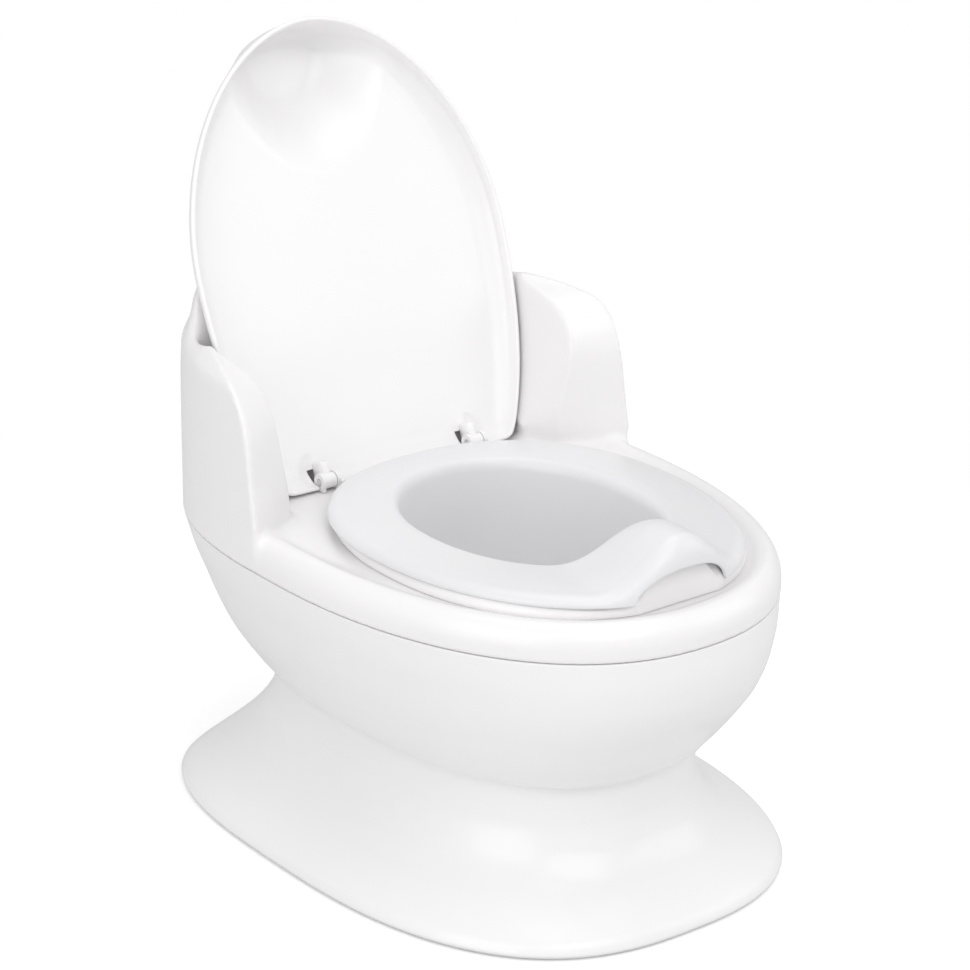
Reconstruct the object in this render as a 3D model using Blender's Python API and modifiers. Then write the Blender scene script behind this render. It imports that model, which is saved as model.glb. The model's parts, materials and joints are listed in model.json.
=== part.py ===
"""Potty training chair in the style of a small toilet, with its lid open.

Frame: metres, +Z up, the chair faces -Y, X is left (-) and right (+).  The
origin is on the floor, under the middle of the chair's outer box.
Lengths below are millimetres, with Y from the drawing's own mid line; SHIFT_Y
and MM turn them into the chair's frame where shapes are made.
"""
import math
from typing import NamedTuple

import bmesh
import bpy
from mathutils import Matrix, Vector

MM = 0.001
SHIFT_Y = -3.817       # moves the drawing so that the origin is mid box
GAP = 0.3              # running gap between neighbouring pieces
WALL = 3.0

for old in list(bpy.data.objects):
    bpy.data.objects.remove(old, do_unlink=True)

PARTS = bpy.data.collections.new("potty_training_chair")
CUTTERS = bpy.data.collections.new("cutters")
bpy.context.scene.collection.children.link(PARTS)
bpy.context.scene.collection.children.link(CUTTERS)


# ------------------------------------------------------------------ materials
def material(name, colour, roughness, metallic=0.0):
    mat = bpy.data.materials.new(name)
    mat.use_nodes = True
    bsdf = mat.node_tree.nodes["Principled BSDF"]
    bsdf.inputs["Base Color"].default_value = (*colour, 1.0)
    bsdf.inputs["Roughness"].default_value = roughness
    bsdf.inputs["Metallic"].default_value = metallic
    mat.diffuse_color = (*colour, 1.0)
    return mat


WHITE = material("white_gloss_plastic", colour=(0.83, 0.825, 0.815), roughness=0.28)
POT_WHITE = material("white_pot_plastic", colour=(0.76, 0.775, 0.78), roughness=0.32)
LID_WHITE = material("white_lid_plastic", colour=(0.88, 0.878, 0.878), roughness=0.26)
RUBBER = material("grey_rubber", colour=(0.30, 0.30, 0.31), roughness=0.75)
STEEL = material("plated_steel", colour=(0.62, 0.62, 0.64), roughness=0.30, metallic=1.0)
DARK = material("dark_plastic", colour=(0.05, 0.05, 0.055), roughness=0.5)
BOARD = material("circuit_board", colour=(0.04, 0.22, 0.10), roughness=0.5)
CELL = material("battery_jacket", colour=(0.16, 0.18, 0.22), roughness=0.35)


# ------------------------------------------------------------------ curves
def lerp(a, b, t):
    return a + (b - a) * t


def smooth(u):
    """Ease from 0 to 1, flat beyond both ends."""
    u = min(1.0, max(0.0, u))
    return u * u * (3 - 2 * u)


def hump(x, half_width):
    """1 on the mid plane, easing to 0 at the half width."""
    return math.cos(math.pi * min(1.0, abs(x) / half_width) / 2) ** 2


def look_up(rows, z):
    """The other columns at a value of the first, linear between rows."""
    rows = sorted(rows)
    if z <= rows[0][0]:
        return rows[0][1:]
    for low, high in zip(rows[:-1], rows[1:]):
        if z <= high[0]:
            t = (z - low[0]) / (high[0] - low[0])
            return tuple(lerp(a, b, t) for a, b in zip(low[1:], high[1:]))
    return rows[-1][1:]


def signed_power(value, power):
    return math.copysign(abs(value) ** (2 / power), value)


def superellipse(u, power):
    """Share of the full half width left a share u of the way to the end."""
    return (1 - u ** power) ** (1 / power)


class Oval(NamedTuple):
    """Plan outline with its nose at -Y; a power of 2 is an ellipse, more is squarer."""
    width: float           # half width
    front: float           # length from centre to nose
    back: float            # length from centre to back
    y: float               # centre
    front_power: float
    back_power: float

    def point(self, angle):
        c, s = math.cos(angle), math.sin(angle)
        front_side = s < 0
        length = self.front if front_side else self.back
        power = self.front_power if front_side else self.back_power
        return self.width * signed_power(c, power), self.y + length * signed_power(s, power)

    def loop(self, count, z):
        return [(*self.point(2 * math.pi * i / count), z) for i in range(count)]

    def grown(self, by):
        return self._replace(width=self.width + by, front=self.front + by, back=self.back + by)

    def half_width(self, y):
        """Half width at a y behind the centre."""
        return self.width * superellipse((y - self.y) / self.back, self.back_power)


# ------------------------------------------------------------------ solids
def new_object(name, mesh, mat=None):
    """A piece if it has a material, otherwise a cutter."""
    ob = bpy.data.objects.new(name, mesh)
    (PARTS if mat else CUTTERS).objects.link(ob)
    if mat:
        mesh.materials.append(mat)
    return ob


def finish_mesh(bm, name, sharp_degrees=30):
    bmesh.ops.remove_doubles(bm, verts=bm.verts, dist=1e-6)
    bmesh.ops.recalc_face_normals(bm, faces=bm.faces)
    if bm.calc_volume(signed=True) < 0:
        bmesh.ops.reverse_faces(bm, faces=bm.faces)
    mesh = bpy.data.meshes.new(name)
    bm.to_mesh(mesh)
    bm.free()
    mesh.shade_smooth()
    mesh.set_sharp_from_angle(angle=math.radians(sharp_degrees))
    return mesh


def loft(name, loops, mat=None, closed=False):
    """Skin between loops of equal length; a closed loft joins last to first,
    an open one gets a cap at each end."""
    bm = bmesh.new()
    rings = [[bm.verts.new((x * MM, (y + SHIFT_Y) * MM, z * MM)) for x, y, z in loop]
             for loop in loops]
    count = len(rings[0])
    pairs = list(zip(rings[:-1], rings[1:]))
    if closed:
        pairs.append((rings[-1], rings[0]))
    for a, b in pairs:
        for i in range(count):
            j = (i + 1) % count
            bm.faces.new((a[i], a[j], b[j], b[i]))
    if not closed:
        bm.faces.new(list(reversed(rings[0])))
        bm.faces.new(rings[-1])
    return new_object(name, finish_mesh(bm, name, sharp_degrees=35), mat)


def box(name, low, high, mat=None, bevel=0.0, shift=SHIFT_Y):
    bm = bmesh.new()
    bmesh.ops.create_cube(bm, size=1.0)
    size = [(h - l) * MM for l, h in zip(low, high)]
    middle = [(h + l) / 2 * MM for l, h in zip(low, high)]
    bmesh.ops.scale(bm, vec=size, verts=bm.verts)
    if bevel:
        bmesh.ops.bevel(bm, geom=bm.edges[:], offset=bevel * MM, segments=2, profile=0.5,
                        affect="EDGES", clamp_overlap=True)
    middle[1] += shift * MM
    bmesh.ops.translate(bm, vec=middle, verts=bm.verts)
    return new_object(name, finish_mesh(bm, name), mat)


def rod(name, radius, start, end, mat=None, seg=24, end_radius=None):
    """Solid cylinder or cone between two points."""
    move = Vector((0, SHIFT_Y, 0))
    a, b = (Vector(start) + move) * MM, (Vector(end) + move) * MM
    axis = b - a
    radius2 = radius if end_radius is None else end_radius
    bm = bmesh.new()
    bmesh.ops.create_cone(bm, cap_ends=True, segments=seg, radius1=radius * MM,
                          radius2=radius2 * MM, depth=axis.length)
    turn = Vector((0, 0, 1)).rotation_difference(axis.normalized()).to_matrix().to_4x4()
    bmesh.ops.transform(bm, matrix=Matrix.Translation((a + b) / 2) @ turn, verts=bm.verts)
    return new_object(name, finish_mesh(bm, name), mat)


def upright(name, radius, x, y, z0, z1, seg):
    """Vertical cutter rod."""
    return rod(name, radius, (x, y, z0), (x, y, z1), seg=seg)


def turned(name, profile, x, y, mat, seg):
    """Turned piece about a vertical axis; profile rows are radius, height."""
    bm = bmesh.new()
    verts = [bm.verts.new((r * MM, 0, z * MM)) for r, z in profile]
    for a, b in zip(verts[:-1], verts[1:]):
        bm.edges.new((a, b))
    mesh = bpy.data.meshes.new(name)
    bm.to_mesh(mesh)
    bm.free()
    ob = new_object(name, mesh, mat)
    ob.location = Vector((x, y + SHIFT_Y, 0)) * MM
    screw = ob.modifiers.new("turn", "SCREW")
    screw.steps = screw.render_steps = seg
    screw.use_merge_vertices = True
    screw.merge_threshold = 0.00005
    screw.use_normal_calculate = False
    return ob


def boolean(target, cutter, operation):
    mod = target.modifiers.new(operation.lower() + "_" + cutter.name, "BOOLEAN")
    mod.operation = operation
    mod.solver = "EXACT"
    mod.object = cutter
    cutter.hide_render = True
    cutter.display_type = "WIRE"


def cut(target, cutter):
    boolean(target, cutter, "DIFFERENCE")


def join(target, cutter):
    boolean(target, cutter, "UNION")


def set_origin(ob, x, y, z):
    """Move the origin of a piece and leave its shape where it is."""
    origin = Vector((x, y + SHIFT_Y, z)) * MM
    ob.data.transform(Matrix.Translation(-origin))
    ob.location = origin


# ------------------------------------------------------------------ shared plan
RIM = Oval(width=140.0, front=215.0, back=185.6, y=12.3, front_power=2.21, back_power=2.77)
CREASE_POWERS = (2.35, 2.69)   # front and back, where pedestal and bowl meet
SEAM_Z = 179.5                 # joint between bowl and upper shell
DECK_Z = 197.0                 # top of the deck
BEAD_Z = 200.5                 # top of the rolled rim

# ------------------------------------------------------------------ pedestal
PEDESTAL_TOP, PEDESTAL_FOOT = 84.6, 3.5
# height, half width, front length
PEDESTAL = [(PEDESTAL_TOP, 95.8, 163.0), (75.0, 94.5, 162.0), (60.0, 95.5, 162.5),
            (45.0, 100.5, 166.5), (32.0, 110.5, 175.5), (22.0, 123.5, 188.5),
            (14.0, 134.5, 199.5), (8.0, 141.0, 206.0), (PEDESTAL_FOOT, 143.0, 208.0)]
PEDESTAL_BACK_LOW, PEDESTAL_BACK_HIGH = 190.4, 126.0
FOOT_POWERS = (2.62, 3.1)      # front and back, at floor level
LEDGE_Z, LEDGE_TOP, LEDGE_INSET = 69.5, 72.7, 20.0
# inset, height: rolled lower edge, then the lip that hides the feet
PEDESTAL_LIP = [(2.0, 1.0), (4.6, 1.0), (4.8, 2.2), (26.0, 2.2), (26.0, 5.2), (10.0, 5.2)]
# height, inset
PEDESTAL_INSIDE = [(14.0, 3.8), (24.0, 3.8), (40.0, 3.4), (LEDGE_Z, 3.4)]


def pedestal_loop(station, inset=0.0, z=None):
    """Pedestal outline at a station, drawn at height z if one is given."""
    width, front = look_up(PEDESTAL, station)
    u = station / PEDESTAL_TOP
    back = lerp(PEDESTAL_BACK_HIGH, PEDESTAL_BACK_LOW, (1 - u) ** 1.5)
    powers = [lerp(foot, crease, u) for foot, crease in zip(FOOT_POWERS, CREASE_POWERS)]
    plan = Oval(width, front, back, RIM.y, *powers).grown(-inset)
    return plan.loop(36, station if z is None else z)


def build_pedestal():
    loops = [pedestal_loop(row[0]) for row in PEDESTAL]
    loops += [pedestal_loop(PEDESTAL_FOOT, inset, z) for inset, z in PEDESTAL_LIP]
    loops += [pedestal_loop(z, inset) for z, inset in PEDESTAL_INSIDE]
    # inner ledge under the bowl
    loops.append(pedestal_loop(LEDGE_Z, LEDGE_INSET))
    loops.append(pedestal_loop(LEDGE_Z, LEDGE_INSET, LEDGE_TOP))
    loops.append(pedestal_loop(LEDGE_TOP, WALL))
    loops.append(pedestal_loop(PEDESTAL_TOP, WALL))
    return loft("pedestal_base", loops, WHITE, closed=True)


# ------------------------------------------------------------------ bowl
BOWL_TOP, BOWL_FOOT = 179.2, 85.4
SPIGOT_Z = 73.0                # underside of the spigot that enters the pedestal
# height, half width, front length, back length
BOWL = [(BOWL_TOP, 139.4, 214.4, 185.0), (164.0, 136.2, 214.6, 180.3),
        (148.0, 131.4, 212.6, 173.2), (131.0, 126.2, 206.0, 165.6),
        (116.0, 120.2, 195.5, 157.3), (101.0, 111.6, 183.6, 144.6),
        (90.0, 104.0, 174.0, 133.8), (BOWL_FOOT, 100.8, 170.4, 129.6)]
# station, inset, height, from the floor of the bowl up
BOWL_INSIDE = [(BOWL_FOOT, 40.0, SPIGOT_Z + WALL + 1), (BOWL_FOOT, 20.0, SPIGOT_Z + WALL + 1),
               (BOWL_FOOT, 15.8, 82.0), (90.0, 6.0, 91.5), (104.0, WALL + 0.4, 104.0),
               (125.0, WALL + 0.4, 125.0), (148.0, WALL + 0.4, 148.0), (BOWL_TOP, WALL, BOWL_TOP)]
BOWL_SPIGOT = [(BOWL_FOOT, 12.3, 84.9), (BOWL_FOOT, 12.8, SPIGOT_Z)]
BASE_SCREWS = [(-58.0, -98.0), (58.0, -98.0), (-62.0, 92.0), (62.0, 92.0)]
BOSS_R, BASE_HOLE_R = 5.5, 2.3
BASE_SCREW_PROFILE = [(0.0, 83.5), (1.2, 83.0), (2.0, 81.0), (2.0, 69.2), (4.2, 69.2),
                      (4.2, 67.6), (3.0, 66.6), (0.0, 66.6)]


def bowl_loop(station, inset, z):
    """Bowl outline at a station, drawn at height z."""
    u = (station - BOWL_FOOT) / (BOWL_TOP - BOWL_FOOT)
    powers = (lerp(CREASE_POWERS[0], RIM.front_power, u),
              lerp(CREASE_POWERS[1], RIM.back_power, u))
    return Oval(*look_up(BOWL, station), RIM.y, *powers).grown(-inset).loop(40, z)


def build_bowl(pedestal):
    outside = [(row[0], 0.0, row[0]) for row in BOWL]
    loops = [bowl_loop(*row) for row in BOWL_INSIDE + outside + BOWL_SPIGOT]
    bowl = loft("bowl_shell", loops, WHITE)
    for i, (x, y) in enumerate(BASE_SCREWS):
        join(bowl, upright(f"cut_bowl_boss_{i}", BOSS_R, x, y, SPIGOT_Z + 1.5, 88.0, seg=12))
    for i, (x, y) in enumerate(BASE_SCREWS):
        cut(bowl, upright(f"cut_bowl_hole_{i}", BASE_HOLE_R, x, y, 70.0, 84.0, seg=12))
        cut(pedestal, upright(f"cut_ledge_hole_{i}", BASE_HOLE_R, x, y, 66.0, 72.85, seg=10))
        turned(f"base_screw_{i + 1}", BASE_SCREW_PROFILE, x, y, STEEL, seg=10)


# ------------------------------------------------------------------ feet
FEET = [(-92.0, -110.0), (92.0, -110.0), (-104.0, 128.0), (104.0, 128.0)]
FOOT_PROFILE = [(0.0, 1.9), (7.4, 1.9), (8.0, 1.4), (8.0, 0.5), (7.5, 0.0), (0.0, 0.0)]


def build_feet():
    for i, (x, y) in enumerate(FEET):
        turned(f"foot_pad_{i + 1}", FOOT_PROFILE, x, y, RUBBER, seg=16)


# ------------------------------------------------------------------ hinge and lid outline
# In the lid's own plane, s runs from the hinge axis to the tip.
HINGE_Y, HINGE_Z = 81.0, 203.0
KNUCKLE_X, KNUCKLE_HALF = 55.0, 3.6
HINGES = (("left", -KNUCKLE_X), ("right", KNUCKLE_X))
PIN_R, BORE_R = 2.0, 2.3
LEAN = math.radians(20.4)      # past vertical when open
LID_W = 112.0                  # half width at its widest
LID_MID, LID_SHIFT = 135.0, 3.5    # the widest place is at s = LID_MID - LID_SHIFT
LID_TIP, LID_ROOT = 141.0, 191.0   # lengths from there to the tip and the root
LID_TIP_POWER, LID_ROOT_POWER = 1.89, 2.23
LID_CLEARANCE = 2.2


def lid_half_width(s):
    """Half width between the hinge axis and the widest place."""
    return LID_W * superellipse((LID_MID - (s + LID_SHIFT)) / LID_ROOT, LID_ROOT_POWER)


def lean_y(z):
    """y of the open lid's plane at a height."""
    return HINGE_Y + math.tan(LEAN) * (z - HINGE_Z)


def clear_x(y, z):
    """Half width that lets the lid swing past, at a point beside it."""
    reach = math.hypot(y - HINGE_Y, z - HINGE_Z)
    if y > lean_y(z) and z > HINGE_Z + 2:
        reach = min(reach, (z - HINGE_Z) / math.cos(LEAN))
    return lid_half_width(max(2.0, reach)) + LID_CLEARANCE


# ------------------------------------------------------------------ tank outline
TANK_TOP = 317.0
WING_TOP = 289.0
# height, y of the outer front fold, y of the inner edge
WING = [(179.9, 29.0, 55.0), (192.0, 30.0, 55.0), (217.0, 34.0, 55.0),
        (233.0, 36.5, 54.0), (244.0, 38.0, 53.5), (255.0, 40.0, 53.8),
        (264.0, 43.0, 56.0), (272.0, 46.5, 60.5), (279.0, 52.0, 68.5),
        (284.0, 58.0, 80.0), (287.0, 66.0, 94.0), (WING_TOP, 78.0, 106.0)]
# height, how far the side has come in
SHOULDER = [(180.0, 0.0), (270.0, 1.6), (284.0, 2.6), (WING_TOP, 4.6), (293.0, 7.4),
            (298.0, 9.6), (306.0, 11.8), (311.5, 14.4), (315.0, 19.0), (TANK_TOP, 27.0)]
SHOULDER_BACK = 0.36           # share of the side's inset taken by the back
RECESS_DEPTH = 21.0            # from the open lid's plane back to the recess
RECESS_BULGE = 1.6
CROWN_BLEND = 10.0             # height over which the wings melt into the tank top
ARC_HALF_STEPS = 10


def tank_outline(z):
    """From the middle of the front recess out to the right fold, round the
    back, and in from the left fold."""
    inset = look_up(SHOULDER, z)[0]
    plan = RIM._replace(width=RIM.width - inset, back=RIM.back - SHOULDER_BACK * inset)
    low = min(z, WING_TOP)
    fold_y, inner_y = look_up(WING, low)
    fold_x, inner_x = plan.half_width(fold_y), clear_x(inner_y, low)
    lid_y = lean_y(low)
    lid_x = clear_x(lid_y, low)
    mid_y, end_y = lerp(inner_y, lid_y, 0.5), max(lid_y, inner_y + 1)
    recess_y = lid_y + RECESS_DEPTH
    half = [(fold_x, fold_y), (lerp(fold_x, inner_x, 0.5), lerp(fold_y, inner_y, 0.46)),
            (inner_x, inner_y), (clear_x(mid_y, low), mid_y), (clear_x(end_y, low), end_y),
            (lid_x - 1.0, recess_y - 5.0), (lid_x - 6.0, recess_y),
            (0.5 * lid_x, recess_y + 1.2), (0.0, recess_y + RECESS_BULGE)]
    if z > WING_TOP:
        # above the wings the front flattens into one shallow bow
        t = min(1.0, (z - WING_TOP) / CROWN_BLEND)
        bow_y = lean_y(z) + RECESS_DEPTH
        bow_x = plan.half_width(bow_y - 1.0)
        fold_y = lerp(fold_y, bow_y - 1.0, t ** 0.7)
        blended = [(plan.half_width(fold_y), fold_y)]
        for k, (x, y) in enumerate(half[1:], start=1):
            side = 1 - k / (len(half) - 1)
            target_y = bow_y + RECESS_BULGE * (1 - side * side)
            blended.append((lerp(x, bow_x * side, t ** 2.2),
                            lerp(y, target_y, min(1.0, 2.0 * t))))
        half = blended
    start = math.asin(((half[0][1] - plan.y) / plan.back) ** (plan.back_power / 2))
    steps = 2 * ARC_HALF_STEPS
    arc = [plan.point(lerp(start, math.pi - start, k / steps)) for k in range(1, steps)]
    left = [(-x, y) for x, y in half[:-1]]
    return [(x, y, z) for x, y in half[::-1] + arc + left]


def inset_loop(loop, distance):
    """Move each point of a counter-clockwise outline inwards."""
    out = []
    for i, (x, y, z) in enumerate(loop):
        x0, y0, _ = loop[i - 1]
        x2, y2, _ = loop[(i + 1) % len(loop)]
        before, after = Vector((x - x0, y - y0)), Vector((x2 - x, y2 - y))
        if before.length < 1e-6 or after.length < 1e-6:
            out.append((x, y, z))
            continue
        before.normalize()
        after.normalize()
        normal_before = Vector((-before.y, before.x))
        normal_after = Vector((-after.y, after.x))
        middle = normal_before + normal_after
        # mitre length, held back at sharp corners
        mitre = min(2.2, 1 / max(0.3, (1 + normal_before.dot(normal_after)) / 2) ** 0.5)
        middle.normalize()
        out.append((x + middle.x * distance * mitre, y + middle.y * distance * mitre, z))
    return out


# ------------------------------------------------------------------ upper shell
DECK_SETBACK = 0.3             # the deck's edge inside the rim plan
# inset, height, up the rolled rim and down to the deck
BEAD = [(0.0, SEAM_Z), (0.0, 186.5), (1.0, 191.0), (3.2, 195.6), (6.4, 199.2), (9.6, BEAD_Z),
        (13.0, 200.0), (17.5, 197.9), (21.0, DECK_Z)]
DECK_HOLLOW = [(WALL, SEAM_Z - 6), (WALL, 186.0), (4.6, 191.0), (9.0, DECK_Z - 3.4)]
TANK_LEVELS = [180.1, 217.0, 244.0, 264.0, 274.0, 281.0, 286.0, WING_TOP, 291.5, 295.0, 300.0,
               306.0, 311.5, 315.0, TANK_TOP]
HOLLOW_LEVELS = [186.0, 217.0, 244.0, 264.0, 272.0, 279.0]
# height in the hollow, height of the tank outline that is shrunk to fit it
HOLLOW_CROWN = [(299.0, 303.0), (303.5, 307.0), (308.5, 311.5), (313.4, 314.8)]
CROWN_SIDE, CROWN_DEPTH = 5.0, 6.6     # taken off the half width and the full depth

HOLE = Oval(width=71.0, front=93.0, back=92.5, y=-46.0, front_power=2.25, back_power=2.3)
DECK_HOLE_MARGIN = 3.4         # deck opening beyond the ring's hole

BUTTON_X, BUTTON_Y, BUTTON_R = 0.0, 166.0, 11.0
UNIT_W, UNIT_Z0, UNIT_Z1 = 36.0, 222.0, 280.0      # sound unit: half width, heights


def deck_loop(inset, z):
    return RIM.grown(-DECK_SETBACK - inset).loop(44, z)


def crown_loop(z, source):
    """Tank outline from the source height, shrunk and drawn at z."""
    outline = tank_outline(source)
    x_max = max(x for x, _, _ in outline)
    y_low, y_high = min(y for _, y, _ in outline), max(y for _, y, _ in outline)
    scale_x = 1 - CROWN_SIDE / x_max
    scale_y = 1 - CROWN_DEPTH / (y_high - y_low)
    mid_y = (y_low + y_high) / 2
    return [(x * scale_x, mid_y + (y - mid_y) * scale_y, z) for x, y, _ in outline]


def build_upper_shell():
    upper = loft("upper_shell", [deck_loop(*row) for row in BEAD], WHITE)
    join(upper, loft("cut_tank_solid", [tank_outline(z) for z in TANK_LEVELS]))
    cut(upper, loft("cut_deck_hollow", [deck_loop(*row) for row in DECK_HOLLOW]))
    hollow = [inset_loop(tank_outline(z), WALL) for z in HOLLOW_LEVELS]
    hollow += [crown_loop(*row) for row in HOLLOW_CROWN]
    cut(upper, loft("cut_tank_hollow", hollow))
    # opening for the support ring and the pot
    opening = HOLE.grown(DECK_HOLE_MARGIN)
    cut(upper, loft("cut_deck_opening", [opening.loop(36, 190.0), opening.loop(36, 199.0)]))
    cut(upper, upright("cut_button_hole", BUTTON_R + 0.5, BUTTON_X, BUTTON_Y, 306.0, 325.0,
                       seg=32))
    # opening in the back for the sound unit
    cut(upper, box("cut_back_opening", (-UNIT_W - GAP, 186.0, UNIT_Z0 - GAP),
                   (UNIT_W + GAP, 205.0, UNIT_Z1 + GAP)))
    return upper


# ------------------------------------------------------------------ support ring
RING = Oval(width=106.0, front=130.0, back=125.0, y=-50.0, front_power=2.2, back_power=2.25)
RING_TOP, RING_BOTTOM = 205.5, 184.0
RING_EDGE_Z = 199.0            # height the crown falls towards at the outer edge
SPIGOT_MARGIN = 2.9            # outside of the ring's spigot beyond its hole
# share of the way from hole to outer edge, drop below the crown,
# share of the fall from there to RING_EDGE_Z
RING_SECTION = [(0.0, 2.2, 0.0), (0.06, 0.3, 0.0), (0.25, 0.0, 0.0), (0.45, 0.0, 0.0),
                (0.62, 0.0, 0.0), (0.8, 0.0, 0.12), (0.9, 0.0, 0.32), (0.96, 0.0, 0.62)]
# name, inner and outer share of the ring's breadth, start and end angle in degrees
RING_POCKETS = [("rear_pocket_right", 0.25, 0.68, 70.0, 10.0),
                ("front_slot_right", 0.30, 0.52, 344.0, 304.0),
                ("rear_pocket_left", 0.25, 0.68, 110.0, 170.0),
                ("front_slot_left", 0.30, 0.52, 196.0, 236.0)]
POCKET_Z0, POCKET_Z1, POCKET_STEPS = 202.4, 215.0, 10
RING_SCREWS = [(-74.7, 18.6), (74.7, 18.6), (-40.3, 48.5), (40.3, 48.5)]
RING_HOLE_R, COUNTERBORE_R = 1.9, 3.3
RING_SCREW_PROFILE = [(0.0, 201.3), (2.2, 201.3), (2.9, 200.6), (2.9, 199.9), (1.6, 199.9),
                      (1.6, 190.4), (0.6, 188.8), (0.0, 188.6)]
ARCH_HALF, ARCH_RISE, ARCH_Z, ARCH_STEPS = 29.0, 30.0, 196.0, 16
ARCH_FRONT_Y, ARCH_BACK_Y = -200.0, -175.5


def ring_top(x, y, t):
    """Height of the ring's crown; t is 0 at the hole and 1 outside."""
    crown = RING_TOP + 1.6 * math.sin(math.pi * (0.15 + 0.75 * t)) - 1.0 * t
    if y < -100:
        # the middle of the front rises
        crown += 24.0 * hump(x, 46.0) * smooth((-102 - y) / 56.0)
    return crown


def ring_loop(t, drop, fall):
    loop = []
    for p, q in zip(HOLE.loop(36, 0.0), RING.loop(36, 0.0)):
        x, y = lerp(p[0], q[0], t), lerp(p[1], q[1], t)
        loop.append((x, y, lerp(ring_top(x, y, t) - drop, RING_EDGE_Z, fall)))
    return loop


def ring_pocket(name, inner_t, outer_t, start, end):
    """Curved slot that follows the ring and narrows at both ends."""
    inner, outer = [], []
    mid_t = (inner_t + outer_t) / 2
    for k in range(POCKET_STEPS + 1):
        u = k / POCKET_STEPS
        angle = math.radians(lerp(start, end, u))
        hole_x, hole_y = HOLE.point(angle)
        edge_x, edge_y = RING.point(angle)
        narrowing = 0.5 * (1 - math.sin(math.pi * u)) ** 4
        for side, side_t in ((inner, inner_t), (outer, outer_t)):
            t = lerp(side_t, mid_t, narrowing)
            side.append((lerp(hole_x, edge_x, t), lerp(hole_y, edge_y, t)))
    outline = outer + inner[::-1]
    return loft(name, [[(x, y, z) for x, y in outline] for z in (POCKET_Z0, POCKET_Z1)])


def finger_arch():
    """Half-round tunnel through the front of the ring, shrinking inwards."""
    angles = [math.pi * k / ARCH_STEPS for k in range(ARCH_STEPS + 1)]
    arch = [(ARCH_HALF * math.cos(a), ARCH_RISE * math.sin(a)) for a in angles]
    front = [(x, ARCH_FRONT_Y, ARCH_Z + h) for x, h in arch]
    back = [(0.96 * x, ARCH_BACK_Y + 0.30 * h, ARCH_Z + h) for x, h in arch]
    return loft("cut_finger_arch", [front, back])


def build_support_ring(upper):
    spigot = HOLE.grown(SPIGOT_MARGIN)
    loops = [HOLE.loop(36, RING_BOTTOM)]
    loops += [ring_loop(*row) for row in RING_SECTION]
    loops += [RING.loop(36, RING_EDGE_Z + 0.3), RING.loop(36, DECK_Z + 0.6)]
    loops += [spigot.loop(36, DECK_Z + GAP), spigot.loop(36, RING_BOTTOM)]
    ring = loft("support_ring", loops, WHITE, closed=True)
    for name, *limits in RING_POCKETS:
        cut(ring, ring_pocket(f"cut_{name}", *limits))
    for i, (x, y) in enumerate(RING_SCREWS):
        cut(ring, upright(f"cut_ring_counterbore_{i}", COUNTERBORE_R, x, y, 199.6, 206.0, seg=16))
        cut(ring, upright(f"cut_ring_hole_{i}", RING_HOLE_R, x, y, 195.0, 200.2, seg=12))
        cut(upper, upright(f"cut_deck_screw_{i}", RING_HOLE_R, x, y, 192.0, 198.5, seg=12))
        turned(f"ring_screw_{i + 1}", RING_SCREW_PROFILE, x, y, STEEL, seg=10)
    cut(ring, finger_arch())


# ------------------------------------------------------------------ pot, seated
POT_RIM_Z, POT_TOP_Z, POT_FLOOR_Z = 203.4, 210.0, 130.0
POT_T = 2.4
POT_BODY_Y = -45.0
POT_OPENING = Oval(width=70.0, front=89.5, back=84.0, y=-41.5, front_power=2.15, back_power=2.15)
FLANGE = Oval(width=107.0, front=143.0, back=118.0, y=-41.0, front_power=2.1, back_power=2.3)
# half width, front length, back length, height: up the inside
POT_INSIDE = [(40, 60, 60, POT_FLOOR_Z + POT_T), (54, 75.5, 75.5, POT_FLOOR_Z + POT_T + 0.5),
              (61, 83, 83, POT_FLOOR_Z + 9.5), (62.6, 84.2, 84.2, 150.0),
              (65.4, 86, 85.6, 190.0), (67.2, 87, 86.8, 204.0)]
# the same columns, down the outside
POT_OUTSIDE = [(69.2, 89.4, 88.8, 205.0), (68.6, 88.8, 88.2, 200.0), (67.4, 87.8, 87.4, 188.0),
               (65.0, 86.6, 86.4, 150.0), (63.8, 86, 86, POT_FLOOR_Z + 10),
               (61, 83, 83, POT_FLOOR_Z + 3.5), (55, 77, 77, POT_FLOOR_Z)]
# share of the way from opening to flange edge, height above POT_TOP_Z
FLANGE_TOP = [(0.04, 0.0), (0.25, 1.4), (0.5, 1.2), (0.72, 0.0), (0.88, -1.6), (0.96, -3.0)]
FLANGE_UNDER = [(0.90, -1.6), (0.72, 0.0), (0.5, 1.2), (0.25, 1.4), (0.05, -0.4)]
# height above POT_RIM_Z, inset: round the flange's lower edge
FLANGE_RIM = [(1.2, 0.0), (0.0, 0.6), (0.0, 2.0), (1.6, 2.6)]


def pot_body_loop(width, front, back, z):
    return Oval(width, front, back, POT_BODY_Y, 2.15, 2.15).loop(36, z)


def flange_loop(t, rise, thick=0.0, shrink=0.0):
    """Flange outline, raised in front by the splash guard."""
    guard_share = 1.0 if t < 0.95 else 0.86
    loop = []
    for p, q in zip(POT_OPENING.grown(-shrink).loop(36, 0.0), FLANGE.loop(36, 0.0)):
        x, y = lerp(p[0], q[0], t), lerp(p[1], q[1], t)
        guard = 28.0 * smooth((-98.0 - y) / 62.0) * hump(x, 50.0)
        loop.append((x, y, POT_TOP_Z + rise + guard * guard_share - thick))
    return loop


def flange_rim_loop(rise, inset):
    """Lower edge of the flange, arched over the finger recess."""
    z = POT_RIM_Z + rise
    return [(x, y, z + (0.0 if y > -120 else 17.0 * hump(x, 33.0)))
            for x, y, _ in FLANGE.grown(-inset).loop(36, 0.0)]


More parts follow.
